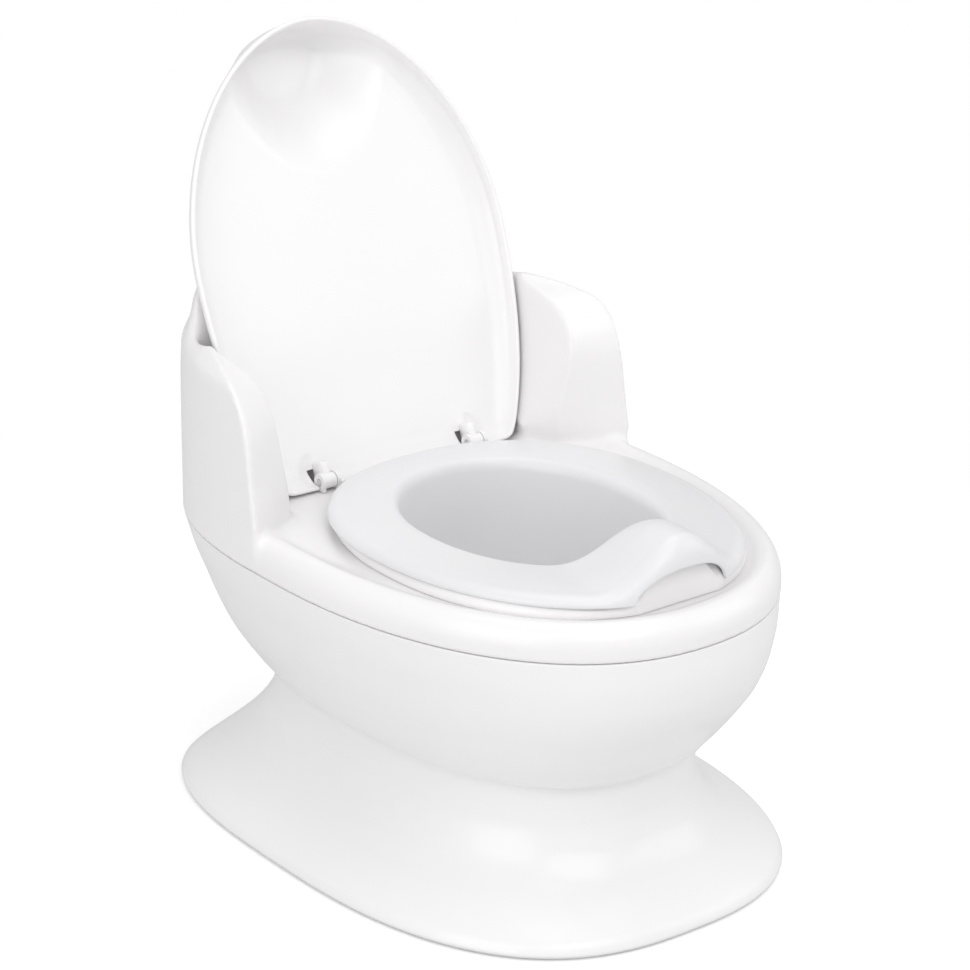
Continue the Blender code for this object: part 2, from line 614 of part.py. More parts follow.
def build_pot():
    loops = [pot_body_loop(*row) for row in POT_INSIDE]
    loops.append(flange_loop(0.0, -1.4, shrink=1.2))
    loops += [flange_loop(*row) for row in FLANGE_TOP]
    loops += [flange_rim_loop(*row) for row in FLANGE_RIM]
    loops += [flange_loop(*row, thick=POT_T) for row in FLANGE_UNDER]
    loops += [pot_body_loop(*row) for row in POT_OUTSIDE]
    pot = loft("potty_pot", loops, POT_WHITE)
    set_origin(pot, 0.0, POT_BODY_Y, POT_FLOOR_Z)


# ------------------------------------------------------------------ lid
LID_T = 2.7
LID_S0 = -5.0                  # hinge edge, on the far side of the axis
LID_CENTRE_S = 128.0           # the rings of the lid shrink towards this point
# x, s at the hinge corner
LID_CORNER = [(84.4, -2.6), (87.8, 2.6)]
OUTLINE_STEPS = 15             # from the corner to the tip
SIDE_STEPS = OUTLINE_STEPS * 0.42      # share of the steps along the side
# ring sizes as shares of the outline, up the inside and back over the outside
LID_INNER = (0.12, 0.4, 0.64, 0.8, 0.87, 0.93)
LID_OUTER = (0.985, 0.95, 0.9, 0.82, 0.65, 0.4, 0.12)
# distance in from the outline, depth: round the edge
LID_EDGE = [(LID_T + 0.2, 0.9), (LID_T - 0.4, 0.0), (0.4, 0.0), (0.0, 0.6)]


def lid_depth(x, s):
    """Depth of the lid's inside, away from its edge; deeper at the tip."""
    base = lerp(9.6, 12.5, smooth((s + 2.0) / 62.0))
    return base + 26.5 * smooth((s - 150.0) / 66.0) * hump(x, 62.0)


def lid_outline():
    """Closed outline of (x, s), from the middle of the hinge edge round."""
    points = [(x, LID_S0 + 0.9 * (x / 80.0) ** 2) for x in (0.0, 20.0, 40.0, 70.0, 79.0)]
    points += LID_CORNER
    for k in range(1, OUTLINE_STEPS):
        if k < SIDE_STEPS:
            s = lerp(2.8, 128.0, k / SIDE_STEPS)
            points.append((lid_half_width(s), s))
        else:
            angle = math.pi / 2 * ((k - SIDE_STEPS) / (OUTLINE_STEPS - SIDE_STEPS))
            points.append((LID_W * math.cos(angle) ** (2 / LID_TIP_POWER),
                           LID_MID - LID_SHIFT
                           + LID_TIP * math.sin(angle) ** (2 / LID_TIP_POWER)))
    points.append((0.0, LID_MID + LID_TIP - LID_SHIFT))
    return points + [(-x, s) for x, s in points[-2:0:-1]]


def lid_ring(k, outer):
    """Ring of (x, s, depth) on one face; k is 0 at the centre and 1 at the edge."""
    ring = []
    for x, s in lid_outline():
        ds = s - LID_CENTRE_S
        ring_x, ring_s = k * x, LID_CENTRE_S + k * ds
        distance = (1 - k) * math.hypot(x, ds)
        curl = lerp(15.0, 8.5, smooth((s - 190) / 70.0))   # breadth of the rounded edge
        depth = lid_depth(ring_x, ring_s)
        if outer:
            curl += LID_T
            depth += LID_T
        else:
            distance -= LID_T
        u = min(1.0, max(0.0, distance / curl))
        depth *= math.sqrt(1 - (1 - u) ** 2)
        ring.append((ring_x, ring_s, max(depth, 1.6) if outer else depth))
    return ring


def lid_edge_ring(inset, depth):
    ring = []
    for x, s in lid_outline():
        ds = s - LID_CENTRE_S
        r = math.hypot(x, ds)
        k = (r - inset) / r
        ring.append((x * k, LID_CENTRE_S + ds * k, depth))
    return ring


def lid_open(point):
    """From the lid's plane (x, s, depth) to the chair, with the lid open."""
    x, s, depth = point
    return (x, HINGE_Y + s * math.sin(LEAN) + depth * math.cos(LEAN),
            HINGE_Z + s * math.cos(LEAN) - depth * math.sin(LEAN))


def lid_box(name, low, high):
    """Cutter box given in (x, s, depth), turned with the open lid."""
    ob = box(name, low, high, shift=0.0)
    turn = Matrix(((1, 0, 0, 0),
                   (0, math.sin(LEAN), math.cos(LEAN), (HINGE_Y + SHIFT_Y) * MM),
                   (0, math.cos(LEAN), -math.sin(LEAN), HINGE_Z * MM),
                   (0, 0, 0, 1)))
    ob.data.transform(turn)
    ob.data.flip_normals()     # the turn also mirrors
    return ob


def hinge_rod(name, radius, x0, x1, seg, mat=None):
    """Rod on the hinge axis."""
    return rod(name, radius, (x0, HINGE_Y, HINGE_Z), (x1, HINGE_Y, HINGE_Z), mat, seg)


def build_lid():
    loops = [lid_ring(k, outer=False) for k in LID_INNER]
    loops += [lid_edge_ring(*row) for row in LID_EDGE]
    loops += [lid_ring(k, outer=True) for k in LID_OUTER]
    lid = loft("lid", [[lid_open(p) for p in loop] for loop in loops], LID_WHITE)
    for side, x in HINGES:
        cut(lid, lid_box(f"cut_lid_notch_{side}", (x - 6.9, -9.0, -6.0), (x + 6.9, 8.0, 14.0)))
    for side, x in HINGES:
        x0, x1 = x - KNUCKLE_HALF, x + KNUCKLE_HALF
        join(lid, lid_box(f"cut_lid_web_{side}", (x0 + 0.2, 1.0, -1.0), (x1 - 0.2, 11.0, 10.2)))
        join(lid, hinge_rod(f"cut_lid_knuckle_{side}", 4.6, x0, x1, seg=20))
    for side, x in HINGES:
        cut(lid, hinge_rod(f"cut_lid_bore_{side}", BORE_R, x - 8, x + 8, seg=16))
    set_origin(lid, 0.0, HINGE_Y, HINGE_Z)


# ------------------------------------------------------------------ hinge brackets and pins
BRACKET_HALF = 6.3
BRACKET_Z0 = DECK_Z + GAP
EAR_R, EAR_OFFSET = 5.3, 5.1


def build_hinge(side, x):
    bracket = box(f"hinge_bracket_{side}", (x - BRACKET_HALF, 87.6, BRACKET_Z0),
                  (x + BRACKET_HALF, 90.6, 199.9), WHITE)
    for k, offset in enumerate((-EAR_OFFSET, EAR_OFFSET)):
        mid = x + offset
        join(bracket, box(f"cut_ear_arm_{side}_{k}", (mid - 1.15, 77.0, BRACKET_Z0),
                          (mid + 1.15, 88.2, 199.4)))
        join(bracket, hinge_rod(f"cut_ear_{side}_{k}", EAR_R, mid - 1.2, mid + 1.2, seg=20))
    cut(bracket, hinge_rod(f"cut_bracket_bore_{side}", BORE_R, x - 12, x + 12, seg=16))
    pin = hinge_rod(f"hinge_pin_{side}", PIN_R, x - BRACKET_HALF, x + BRACKET_HALF, 16, STEEL)
    set_origin(pin, x, HINGE_Y, HINGE_Z)


# ------------------------------------------------------------------ flush button and spring
BUTTON_PROFILE = [(0.0, 320.6), (6.5, 320.3), (10.0, 319.2), (BUTTON_R, 317.6), (BUTTON_R, 313.0),
                  (12.6, 312.8), (12.6, 310.9), (3.2, 310.7), (3.2, 300.0), (0.0, 300.0)]
SPRING_Z0, SPRING_Z1 = 287.3, 310.5
SPRING_R, WIRE_R, SPRING_END = 6.2, 0.55, 0.6      # SPRING_END: wire centre in from each end
SPRING_TURNS, STEPS_PER_TURN = 4.5, 11


def build_spring():
    """Spring between the button's collar and the sound unit's roof."""
    curve = bpy.data.curves.new("flush_spring", "CURVE")
    curve.dimensions = "3D"
    curve.bevel_depth = WIRE_R * MM
    curve.bevel_resolution = 1
    curve.use_fill_caps = True
    total = int(SPRING_TURNS * STEPS_PER_TURN)
    line = curve.splines.new("POLY")
    line.points.add(total)
    for k in range(total + 1):
        a = 2 * math.pi * k / STEPS_PER_TURN
        z = lerp(SPRING_Z0 + SPRING_END, SPRING_Z1 - SPRING_END, k / total)
        line.points[k].co = (SPRING_R * MM * math.cos(a), SPRING_R * MM * math.sin(a), z * MM, 1)
    coil = bpy.data.objects.new("spring_curve", curve)
    bpy.context.scene.collection.objects.link(coil)
    bpy.context.view_layer.update()
    depsgraph = bpy.context.evaluated_depsgraph_get()
    mesh = bpy.data.meshes.new_from_object(coil.evaluated_get(depsgraph))
    bpy.data.objects.remove(coil, do_unlink=True)
    bm = bmesh.new()
    bm.from_mesh(mesh)
    bmesh.ops.remove_doubles(bm, verts=bm.verts, dist=1e-6)
    bm.to_mesh(mesh)
    bm.free()
    spring = new_object("flush_spring", mesh, STEEL)
    spring.location = (BUTTON_X * MM, (BUTTON_Y + SHIFT_Y) * MM, 0)


# ------------------------------------------------------------------ sound unit
UNIT_Y0, UNIT_Y1 = 146.0, 192.6
UNIT_WALL = 2.0
TRAY_INSET = 2.3
SCREW_Z = 271.0                # door screw and sound switch
SCREW_HOLE_R = 1.9
TURNED_Y = 158.0               # zero of the profiles that are turned about a Y axis
BATTERY_Y, BATTERY_ZS = 184.4, (235.0, 250.0)
# radius, distance behind TURNED_Y
SPEAKER_PROFILE = [(0.0, 8.6), (6.0, 9.0), (14.0, 11.0), (18.0, 11.0), (18.0, 9.5), (13.0, 7.5),
                   (9.5, 3.5), (9.5, -1.0), (0.0, -1.0)]
DOOR_SCREW_PROFILE = [(0.0, 38.0), (2.6, 38.0), (3.2, 37.2), (3.2, 36.8), (1.6, 36.8),
                      (1.6, 18.6), (0.8, 17.2), (0.0, 17.0)]


def turned_to_back(name, profile, z, mat, seg):
    """Turned piece on the mid plane whose profile heights run towards +Y."""
    ob = turned(name, profile, 0, 0, mat, seg)
    ob.matrix_world = (Matrix.Translation((0, (TURNED_Y + SHIFT_Y) * MM, z * MM))
                       @ Matrix.Rotation(-math.pi / 2, 4, "X"))


def y_rod(name, radius, y0, y1, seg):
    """Cutter rod along Y at the door screw."""
    return rod(name, radius, (0.0, y0, SCREW_Z), (0.0, y1, SCREW_Z), seg=seg)


def build_sound_unit():
    house = box("sound_housing", (-UNIT_W, UNIT_Y0, UNIT_Z0), (UNIT_W, UNIT_Y1, UNIT_Z1), DARK)
    join(house, box("cut_unit_flange", (-37.6, 187.4, 218.4), (37.6, 189.8, 282.6)))
    join(house, upright("cut_spring_post", 8.0, BUTTON_X, BUTTON_Y, UNIT_Z1 - 1, 287.0, seg=24))
    cut(house, box("cut_unit_inside",
                   (-UNIT_W + UNIT_WALL, UNIT_Y0 + UNIT_WALL, UNIT_Z0 + UNIT_WALL),
                   (UNIT_W - UNIT_WALL, UNIT_Y1 + 5, UNIT_Z1 - UNIT_WALL)))
    tray = box("battery_tray", (-UNIT_W + TRAY_INSET, 175.4, UNIT_Z0 + TRAY_INSET),
               (UNIT_W - TRAY_INSET, 178.4, UNIT_Z1 - TRAY_INSET), DARK)
    cut(tray, y_rod("cut_tray_screw", SCREW_HOLE_R, 170.0, 182.0, seg=12))
    for k, z in enumerate(BATTERY_ZS, start=1):
        rod(f"battery_{k}", 5.1, (-22.0, BATTERY_Y, z), (22.0, BATTERY_Y, z), CELL, seg=20)
        rod(f"battery_contact_{k}", 3.6, (-30.5, BATTERY_Y, z), (-22.4, BATTERY_Y, z), STEEL,
            seg=12, end_radius=2.2)
    box("circuit_board", (-30.0, 152.0, 228.0), (30.0, 153.6, 274.0), BOARD)
    turned_to_back("speaker", SPEAKER_PROFILE, 250.0, DARK, seg=24)


# ------------------------------------------------------------------ battery door and switch
DOOR_Y0, DOOR_Y1 = 193.1, 196.1
DOOR_MID_Y = (DOOR_Y0 + DOOR_Y1) / 2
SWITCH_X0, SWITCH_X1, SWITCH_HALF_Z = 14.0, 19.0, 2.0


def build_battery_door():
    """Door, its screw and the sound switch, all on the back."""
    door = box("battery_door", (-UNIT_W + 0.1, DOOR_Y0, UNIT_Z0 + 0.1),
               (UNIT_W - 0.1, DOOR_Y1, UNIT_Z1 - 0.1), WHITE, bevel=0.6)
    cut(door, y_rod("cut_door_screw", SCREW_HOLE_R, 190.0, 200.0, seg=12))
    cut(door, y_rod("cut_door_sink", 3.6, DOOR_MID_Y, 200.0, seg=20))
    slot_half_z = SWITCH_HALF_Z + GAP
    cut(door, box("cut_door_switch", (SWITCH_X0 - GAP, 190.0, SCREW_Z - slot_half_z),
                  (24.3, 200.0, SCREW_Z + slot_half_z)))
    set_origin(door, 0.0, DOOR_MID_Y, (UNIT_Z0 + UNIT_Z1) / 2)
    turned_to_back("battery_door_screw", DOOR_SCREW_PROFILE, SCREW_Z, STEEL, seg=12)
    switch = box("sound_switch", (SWITCH_X0, 190.4, SCREW_Z - SWITCH_HALF_Z),
                 (SWITCH_X1, 196.8, SCREW_Z + SWITCH_HALF_Z), DARK, bevel=0.4)
    set_origin(switch, (SWITCH_X0 + SWITCH_X1) / 2, DOOR_MID_Y, SCREW_Z)


# ------------------------------------------------------------------ assembly
build_bowl(build_pedestal())
build_feet()
build_support_ring(build_upper_shell())
build_pot()
build_lid()
for hinge_side, hinge_x in HINGES:
    build_hinge(hinge_side, hinge_x)
turned("flush_button", BUTTON_PROFILE, BUTTON_X, BUTTON_Y, LID_WHITE, seg=24)
build_spring()
build_sound_unit()
build_battery_door()
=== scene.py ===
"""Potty training chair: its finished look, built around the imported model.

The chair stands on z = 0 with its nose towards -Y. The tank rises at +Y, the lid
leans open in front of it, and an arm stands on either side of the lid.

Shapes are in millimetres on the chair's own drawing, whose y axis is tied to the
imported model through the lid's hinge. Boxes read from the model are in metres.
"""

import json
import math

import bmesh
import bpy
import numpy as np
from mathutils import Matrix, Vector


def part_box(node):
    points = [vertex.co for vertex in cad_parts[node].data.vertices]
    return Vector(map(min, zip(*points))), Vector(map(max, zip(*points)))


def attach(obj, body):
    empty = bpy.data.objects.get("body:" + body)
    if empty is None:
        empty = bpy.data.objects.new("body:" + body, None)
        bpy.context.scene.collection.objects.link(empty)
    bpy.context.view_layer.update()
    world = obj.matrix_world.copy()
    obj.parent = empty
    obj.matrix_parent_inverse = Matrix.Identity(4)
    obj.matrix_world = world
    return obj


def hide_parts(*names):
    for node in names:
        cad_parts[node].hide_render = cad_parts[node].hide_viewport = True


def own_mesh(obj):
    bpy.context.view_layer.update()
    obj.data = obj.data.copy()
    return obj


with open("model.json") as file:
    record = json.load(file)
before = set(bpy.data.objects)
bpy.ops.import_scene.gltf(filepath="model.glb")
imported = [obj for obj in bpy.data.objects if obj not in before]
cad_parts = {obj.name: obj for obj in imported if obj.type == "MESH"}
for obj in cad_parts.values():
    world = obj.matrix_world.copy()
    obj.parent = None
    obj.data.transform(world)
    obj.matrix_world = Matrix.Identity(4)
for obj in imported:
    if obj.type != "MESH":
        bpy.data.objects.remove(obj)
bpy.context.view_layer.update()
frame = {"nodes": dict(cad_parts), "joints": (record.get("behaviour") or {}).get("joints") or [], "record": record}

MM = 0.001
HINGE = next(j for j in frame["joints"] if j["name"] == "lid_hinge")["pos_m"]
HINGE_Y, HINGE_Z = 81.0, HINGE[2] * 1000.0
SHIFT_Y = HINGE[1] * 1000.0 - HINGE_Y      # drawing to frame
DOOR_LO, DOOR_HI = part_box("battery_door")
BUTTON_LO, BUTTON_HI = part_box("flush_button")
BUTTON_X = (BUTTON_LO.x + BUTTON_HI.x) / 2
BUTTON_Y = (BUTTON_LO.y + BUTTON_HI.y) / 2
BUTTON_R = 11.0

# The rim is the chair's widest outline: half width, reach to front and back of
# PLAN_Y, and the oval's power in front and behind.
PLAN_Y = 12.3
RIM_W, RIM_F, RIM_B = 140.0, 215.0, 185.6
RIM_POWER_F, RIM_POWER_B = 2.21, 2.77
SEAM_Z, DECK_Z, BEAD_Z = 179.5, 197.0, 200.5


# ------------------------------------------------------------------ numbers
def lerp(a, b, t):
    return a + (b - a) * t


def unit(x):
    return np.clip(x, 0.0, 1.0)


def smooth(x):
    x = unit(x)
    return x * x * (3 - 2 * x)


def curve(stations, values):
    """Smooth curve through points that never overshoots them."""
    xs, ys = np.array(stations, float), np.array(values, float)
    if xs[0] > xs[-1]:
        xs, ys = xs[::-1], ys[::-1]
    steps = np.diff(xs)
    slopes = np.diff(ys) / steps
    tangents = np.zeros(len(xs))
    for i in range(1, len(xs) - 1):
        before, after = slopes[i - 1], slopes[i]
        if before * after > 0:
            weight_0 = 2 * steps[i] + steps[i - 1]
            weight_1 = steps[i] + 2 * steps[i - 1]
            tangents[i] = (weight_0 + weight_1) / (weight_0 / before + weight_1 / after)
    tangents[0], tangents[-1] = slopes[0], slopes[-1]

    def value_at(x):
        x = np.clip(x, xs[0], xs[-1])
        i = np.clip(np.searchsorted(xs, x, side="right") - 1, 0, len(steps) - 1)
        t = (x - xs[i]) / steps[i]
        return float(ys[i] * (1 + 2 * t) * (1 - t) ** 2
                     + tangents[i] * steps[i] * t * (1 - t) ** 2
                     + ys[i + 1] * t * t * (3 - 2 * t)
                     + tangents[i + 1] * steps[i] * t * t * (t - 1))
    return value_at


def curves(rows):
    """Curves over a table's first column, one for each further column."""
    columns = list(zip(*rows))
    parts = [curve(columns[0], column) for column in columns[1:]]
    return lambda station: [part(station) for part in parts]


def turns(count):
    return np.arange(count) * (2 * math.pi / count)


def nosed(count, gain, width):
    """Angles round a circle, closer together towards the nose."""
    fine = np.linspace(0, 2 * math.pi, 8001)
    away = np.abs((fine - 1.5 * math.pi + math.pi) % (2 * math.pi) - math.pi)
    density = 1 + gain * np.exp(-(away / width) ** 2)
    total = np.concatenate([[0], np.cumsum((density[1:] + density[:-1]) / 2 * np.diff(fine))])
    return np.interp(np.arange(count) / count * total[-1], total, fine)


# ------------------------------------------------------------------ outlines
def oval(shape, angles, inset=0.0):
    """Oval points; shape is half width, front reach, back reach, centre y,
    front power and back power."""
    half_width, front, back, centre_y, power_f, power_b = shape
    cosine, sine = np.cos(angles), np.sin(angles)
    power = np.where(sine < 0, power_f, power_b)
    reach = np.where(sine < 0, front - inset, back - inset)
    x = (half_width - inset) * np.sign(cosine) * np.abs(cosine) ** (2 / power)
    y = centre_y + reach * np.sign(sine) * np.abs(sine) ** (2 / power)
    return x, y


def ring_of(x, y, z):
    return np.stack([x, y, np.broadcast_to(z, np.shape(x))], axis=1)


def oval_ring(shape, angles, z, inset=0.0):
    return ring_of(*oval(shape, angles, inset), z)


def level(outline, z):
    return ring_of(outline[:, 0], outline[:, 1], z)


def mirrored(outline):
    """Outline reflected in x, run backwards so that it keeps its turn."""
    outline = outline[::-1].copy()
    outline[:, 0] *= -1
    return outline


def bend(outline, index, radius):
    """Swap one corner of an outline for a smooth curve of about this radius."""
    before, corner, after = (np.array(outline[index + k], float) for k in (-1, 0, 1))
    back, ahead = before - corner, after - corner
    back_length, ahead_length = np.linalg.norm(back), np.linalg.norm(ahead)
    start = corner + back / back_length * min(radius, 0.45 * back_length)
    end = corner + ahead / ahead_length * min(radius, 0.45 * ahead_length)
    arc = [tuple((1 - t) ** 2 * start + 2 * t * (1 - t) * corner + t * t * end)
           for t in np.linspace(0, 1, 9)]
    return outline[:index] + arc + outline[index + 1:]


def resample(outline, count):
    """Evenly spaced points along an open outline."""
    points = np.array(outline, float)
    lengths = np.hypot(*np.diff(points, axis=0).T)
    points = points[np.concatenate([[True], lengths > 1e-9])]
    along = np.concatenate([[0], np.cumsum(np.hypot(*np.diff(points, axis=0).T))])
    t = np.linspace(0, along[-1], count)
    return np.stack([np.interp(t, along, points[:, 0]), np.interp(t, along, points[:, 1])], axis=1)


def pulled_in(outline, distance):
    """Clockwise outline moved inwards."""
    along = np.roll(outline, -1, 0) - np.roll(outline, 1, 0)
    along /= np.maximum(np.hypot(along[:, 0], along[:, 1]), 1e-9)[:, None]
    inward = np.stack([along[:, 1], -along[:, 0]], 1)
    return outline + inward * distance


# ------------------------------------------------------------------ meshes
def shade(mesh, sharp):
    """Smooth shading, with edges sharp above an angle in degrees."""
    mesh.shade_smooth()
    mesh.set_sharp_from_angle(angle=math.radians(sharp))


def object_from(name, shape, sharp=None, mesh=None):
    """Linked object from a bmesh, which is freed."""
    mesh = mesh or bpy.data.meshes.new(name)
    shape.to_mesh(mesh)
    shape.free()
    if sharp is not None:
        shade(mesh, sharp)
    ob = bpy.data.objects.new(name, mesh)
    bpy.context.scene.collection.objects.link(ob)
    return ob


def face_outwards(shape):
    if shape.calc_volume(signed=True) < 0:
        bmesh.ops.reverse_faces(shape, faces=shape.faces)


def skin(name, rings, closed=False, sharp=50.0):
    """Quads between rings in drawing millimetres; an open run is capped with
    flat faces."""
    rings = [np.asarray(ring, float) for ring in rings]
    count, ring_count = len(rings[0]), len(rings)
    verts = np.concatenate(rings)
    faces = []
    for k in range(ring_count if closed else ring_count - 1):
        a, b = k * count, ((k + 1) % ring_count) * count
        for i in range(count):
            j = (i + 1) % count
            faces.append((a + i, a + j, b + j, b + i))
    if not closed:
        faces.append(tuple(range(count - 1, -1, -1)))
        faces.append(tuple(range((ring_count - 1) * count, ring_count * count)))
    verts[:, 1] += SHIFT_Y
    verts *= MM
    mesh = bpy.data.meshes.new(name)
    mesh.from_pydata(verts.tolist(), [], faces)
    mesh.validate()
    shape = bmesh.new()
    shape.from_mesh(mesh)
    bmesh.ops.remove_doubles(shape, verts=shape.verts, dist=2e-6)
    bmesh.ops.dissolve_degenerate(shape, dist=1e-7, edges=shape.edges)
    face_outwards(shape)
    return object_from(name, shape, sharp, mesh)


def rounded_box(name, lo, hi, radius, segments=4):
    """Box in frame metres with rounded edges."""
    shape = bmesh.new()
    bmesh.ops.create_cube(shape, size=1.0)
    bmesh.ops.scale(shape, vec=[h - l for l, h in zip(lo, hi)], verts=shape.verts)
    bmesh.ops.bevel(shape, geom=shape.edges[:], offset=radius, segments=segments,
                    profile=0.5, affect="EDGES", clamp_overlap=True)
    bmesh.ops.translate(shape, vec=[(h + l) / 2 for l, h in zip(lo, hi)], verts=shape.verts)
    return object_from(name, shape, sharp=40.0)


def lathe(name, profile, centre, segments=96, axis="Z"):
    """Closed turned piece; profile is (radius, height) in millimetres from the
    axis round the outside and back to the axis, centre in frame metres."""
    shape = bmesh.new()
    rows = []
    for radius, z in profile:
        if radius < 1e-6:
            rows.append([shape.verts.new((0, 0, z * MM))])
        else:
            rows.append([shape.verts.new((radius * MM * math.cos(a), radius * MM * math.sin(a),
                                          z * MM)) for a in turns(segments)])
    for row, after in zip(rows[:-1], rows[1:]):
        for i in range(segments):
            j = (i + 1) % segments
            if len(row) == 1:
                shape.faces.new((row[0], after[i], after[j]))
            elif len(after) == 1:
                shape.faces.new((row[i], after[0], row[j]))
            else:
                shape.faces.new((row[i], after[i], after[j], row[j]))
    bmesh.ops.recalc_face_normals(shape, faces=shape.faces)
    face_outwards(shape)
    if axis == "Y":
        bmesh.ops.rotate(shape, matrix=Matrix.Rotation(-math.pi / 2, 3, "X"), verts=shape.verts)
    bmesh.ops.translate(shape, vec=centre, verts=shape.verts)
    return object_from(name, shape, sharp=45.0)


def apply_modifiers(ob):
    bpy.context.view_layer.update()
    graph = bpy.context.evaluated_depsgraph_get()
    mesh = bpy.data.meshes.new_from_object(ob.evaluated_get(graph))
    ob.modifiers.clear()
    ob.data = mesh


def combine(target, parts, operation="DIFFERENCE"):
    """Cut parts from a target, or join them to it, and use them up."""
    for part in parts:
        modifier = target.modifiers.new("combine", "BOOLEAN")
        modifier.operation = operation
        modifier.solver = "MANIFOLD"
        modifier.object = part
        apply_modifiers(target)
        bpy.data.objects.remove(part, do_unlink=True)


# ------------------------------------------------------------------ materials
def set_inputs(tree, node, inputs):
    """Fill a node's inputs; a socket is linked, anything else is a value."""
    for key, value in inputs.items():
        if isinstance(value, bpy.types.NodeSocket):
            tree.links.new(value, node.inputs[key])
        else:
            node.inputs[key].default_value = value


def add_node(tree, kind, inputs=None, **settings):
    node = tree.nodes.new("ShaderNode" + kind)
    for key, value in settings.items():
        setattr(node, key, value)
    set_inputs(tree, node, inputs or {})
    return node


def new_material(name, colour):
    """Material with its node tree, its Principled node and object coordinates."""
    material = bpy.data.materials.new(name)
    material.use_nodes = True
    material.diffuse_color = (*colour, 1)
    tree = material.node_tree
    coords = add_node(tree, "TexCoord").outputs["Object"]
    return material, tree, tree.nodes["Principled BSDF"], coords


def noise(tree, coords, scale, detail=2.0, roughness=0.5):
    return add_node(tree, "TexNoise", {"Scale": scale, "Detail": detail, "Roughness": roughness,
                                       "Vector": coords}).outputs["Fac"]


def colour_ramp(tree, factor, low, high, span=(0.0, 1.0)):
    ramp = add_node(tree, "ValToRGB", {"Fac": factor})
    for element, position, colour in zip(ramp.color_ramp.elements, span, (low, high)):
        element.position = position
        element.color = (*colour, 1)
    return ramp.outputs["Color"]


def value_range(tree, factor, low, high):
    return add_node(tree, "MapRange", {"Value": factor, "To Min": low,
                                       "To Max": high}).outputs["Result"]


def plastic(name, colour, rough, coat=0.35):
    """Injection-moulded plastic: a faint mould texture, slow colour drift,
    small changes in gloss and light that travels a little below the skin."""
    material, tree, shader, coords = new_material(name, colour)
    tint = 0.012                          # share the colour drifts either way
    drift = noise(tree, coords, scale=7.0)
    base = colour_ramp(tree, drift, low=[c * (1 - tint) for c in colour],
                       high=[min(1.0, c * (1 + tint)) for c in colour], span=(0.3, 0.7))
    gloss = noise(tree, coords, scale=38.0, detail=4.0, roughness=0.6)
    grain = noise(tree, coords, scale=2600.0, roughness=0.6)
    wave = noise(tree, coords, scale=26.0, detail=1.0)
    # the wave plus a small share of the grain
    height = add_node(tree, "Math", {0: grain, 1: 0.14, 2: wave}, operation="MULTIPLY_ADD")
    bump = add_node(tree, "Bump", {"Strength": 0.35, "Distance": 0.010 * MM,
                                   "Height": height.outputs["Value"]})
    set_inputs(tree, shader, {
        "Base Color": base,
        "Roughness": value_range(tree, gloss, low=rough - 0.035, high=rough + 0.045),
        "Normal": bump.outputs["Normal"],
        "IOR": 1.49,
        "Coat Weight": coat,
        "Coat Roughness": 0.12,
        "Subsurface Weight": 0.10,
        "Subsurface Radius": (1.0, 0.9, 0.8),
        "Subsurface Scale": 0.0025,
    })
    return material


def metal(name, colour, rough):
    """Zinc-plated steel with fine turning marks."""
    material, tree, shader, coords = new_material(name, colour)
    marks = noise(tree, coords, scale=900.0, detail=3.0)
    tint = noise(tree, coords, scale=120.0)
    bump = add_node(tree, "Bump", {"Distance": 0.00002, "Height": marks})
    set_inputs(tree, shader, {
        "Base Color": colour_ramp(tree, tint, low=[c * 0.9 for c in colour],
                                  high=[min(1, c * 1.06) for c in colour]),
        "Roughness": value_range(tree, marks, low=rough - 0.08, high=rough + 0.12),
        "Normal": bump.outputs["Normal"],
        "Metallic": 1.0,
    })
    return material


def speckled(name, low, high, rough, scale, grain):
    """Plain matt material with a two-tone speckle; grain is its depth in mm."""
    material, tree, shader, coords = new_material(name, high)
    speckle = noise(tree, coords, scale=scale, detail=4.0)
    bump = add_node(tree, "Bump", {"Distance": grain * MM, "Height": speckle})
    set_inputs(tree, shader, {
        "Base Color": colour_ramp(tree, speckle, low, high, span=(0.35, 0.65)),
        "Roughness": rough,
        "Normal": bump.outputs["Normal"],
    })
    return material


SHELL_WHITE = plastic("shell_white", colour=(0.866, 0.855, 0.857), rough=0.33)
BOWL_WHITE = plastic("bowl_white", colour=(0.880, 0.874, 0.877), rough=0.30)
LID_WHITE = plastic("lid_white", colour=(0.892, 0.883, 0.887), rough=0.33)
POT_WHITE = plastic("pot_white", colour=(0.770, 0.769, 0.782), rough=0.34, coat=0.25)
STEEL = metal("plated_steel", colour=(0.62, 0.62, 0.63), rough=0.30)
DARK = speckled("dark_plastic", low=(0.035, 0.035, 0.038), high=(0.055, 0.055, 0.06),
                rough=0.5, scale=1500.0, grain=0.02)
RUBBER = speckled("foot_rubber", low=(0.26, 0.26, 0.27), high=(0.33, 0.33, 0.34),
                  rough=0.8, scale=1200.0, grain=0.05)
BOARD = speckled("circuit_board", low=(0.03, 0.19, 0.08), high=(0.05, 0.25, 0.11),
                 rough=0.45, scale=300.0, grain=0.02)
CELL = speckled("battery_jacket", low=(0.14, 0.16, 0.20), high=(0.17, 0.19, 0.23),
                rough=0.35, scale=60.0, grain=0.004)


def dress(ob, material):
    ob.data.materials.clear()
    ob.data.materials.append(material)


def install(ob, body, part, material):
    """Hang a piece on a body of the model in place of one of its parts."""
    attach(ob, body)
    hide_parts(part)
    dress(ob, material)


# ------------------------------------------------------------------ pedestal
PLAN_ANGLES = turns(260)
PEDESTAL_TOP, PEDESTAL_FOOT = 84.6, 3.8
PEDESTAL = curves([         # z, half width, front reach
    (PEDESTAL_TOP, 95.8, 163.0), (75.0, 94.5, 162.0), (60.0, 95.5, 162.5),
    (45.0, 100.5, 166.5), (32.0, 110.5, 175.5), (22.0, 123.5, 188.5),
    (14.0, 134.5, 199.5), (8.0, 141.0, 206.0), (3.5, 143.0, 208.0)])
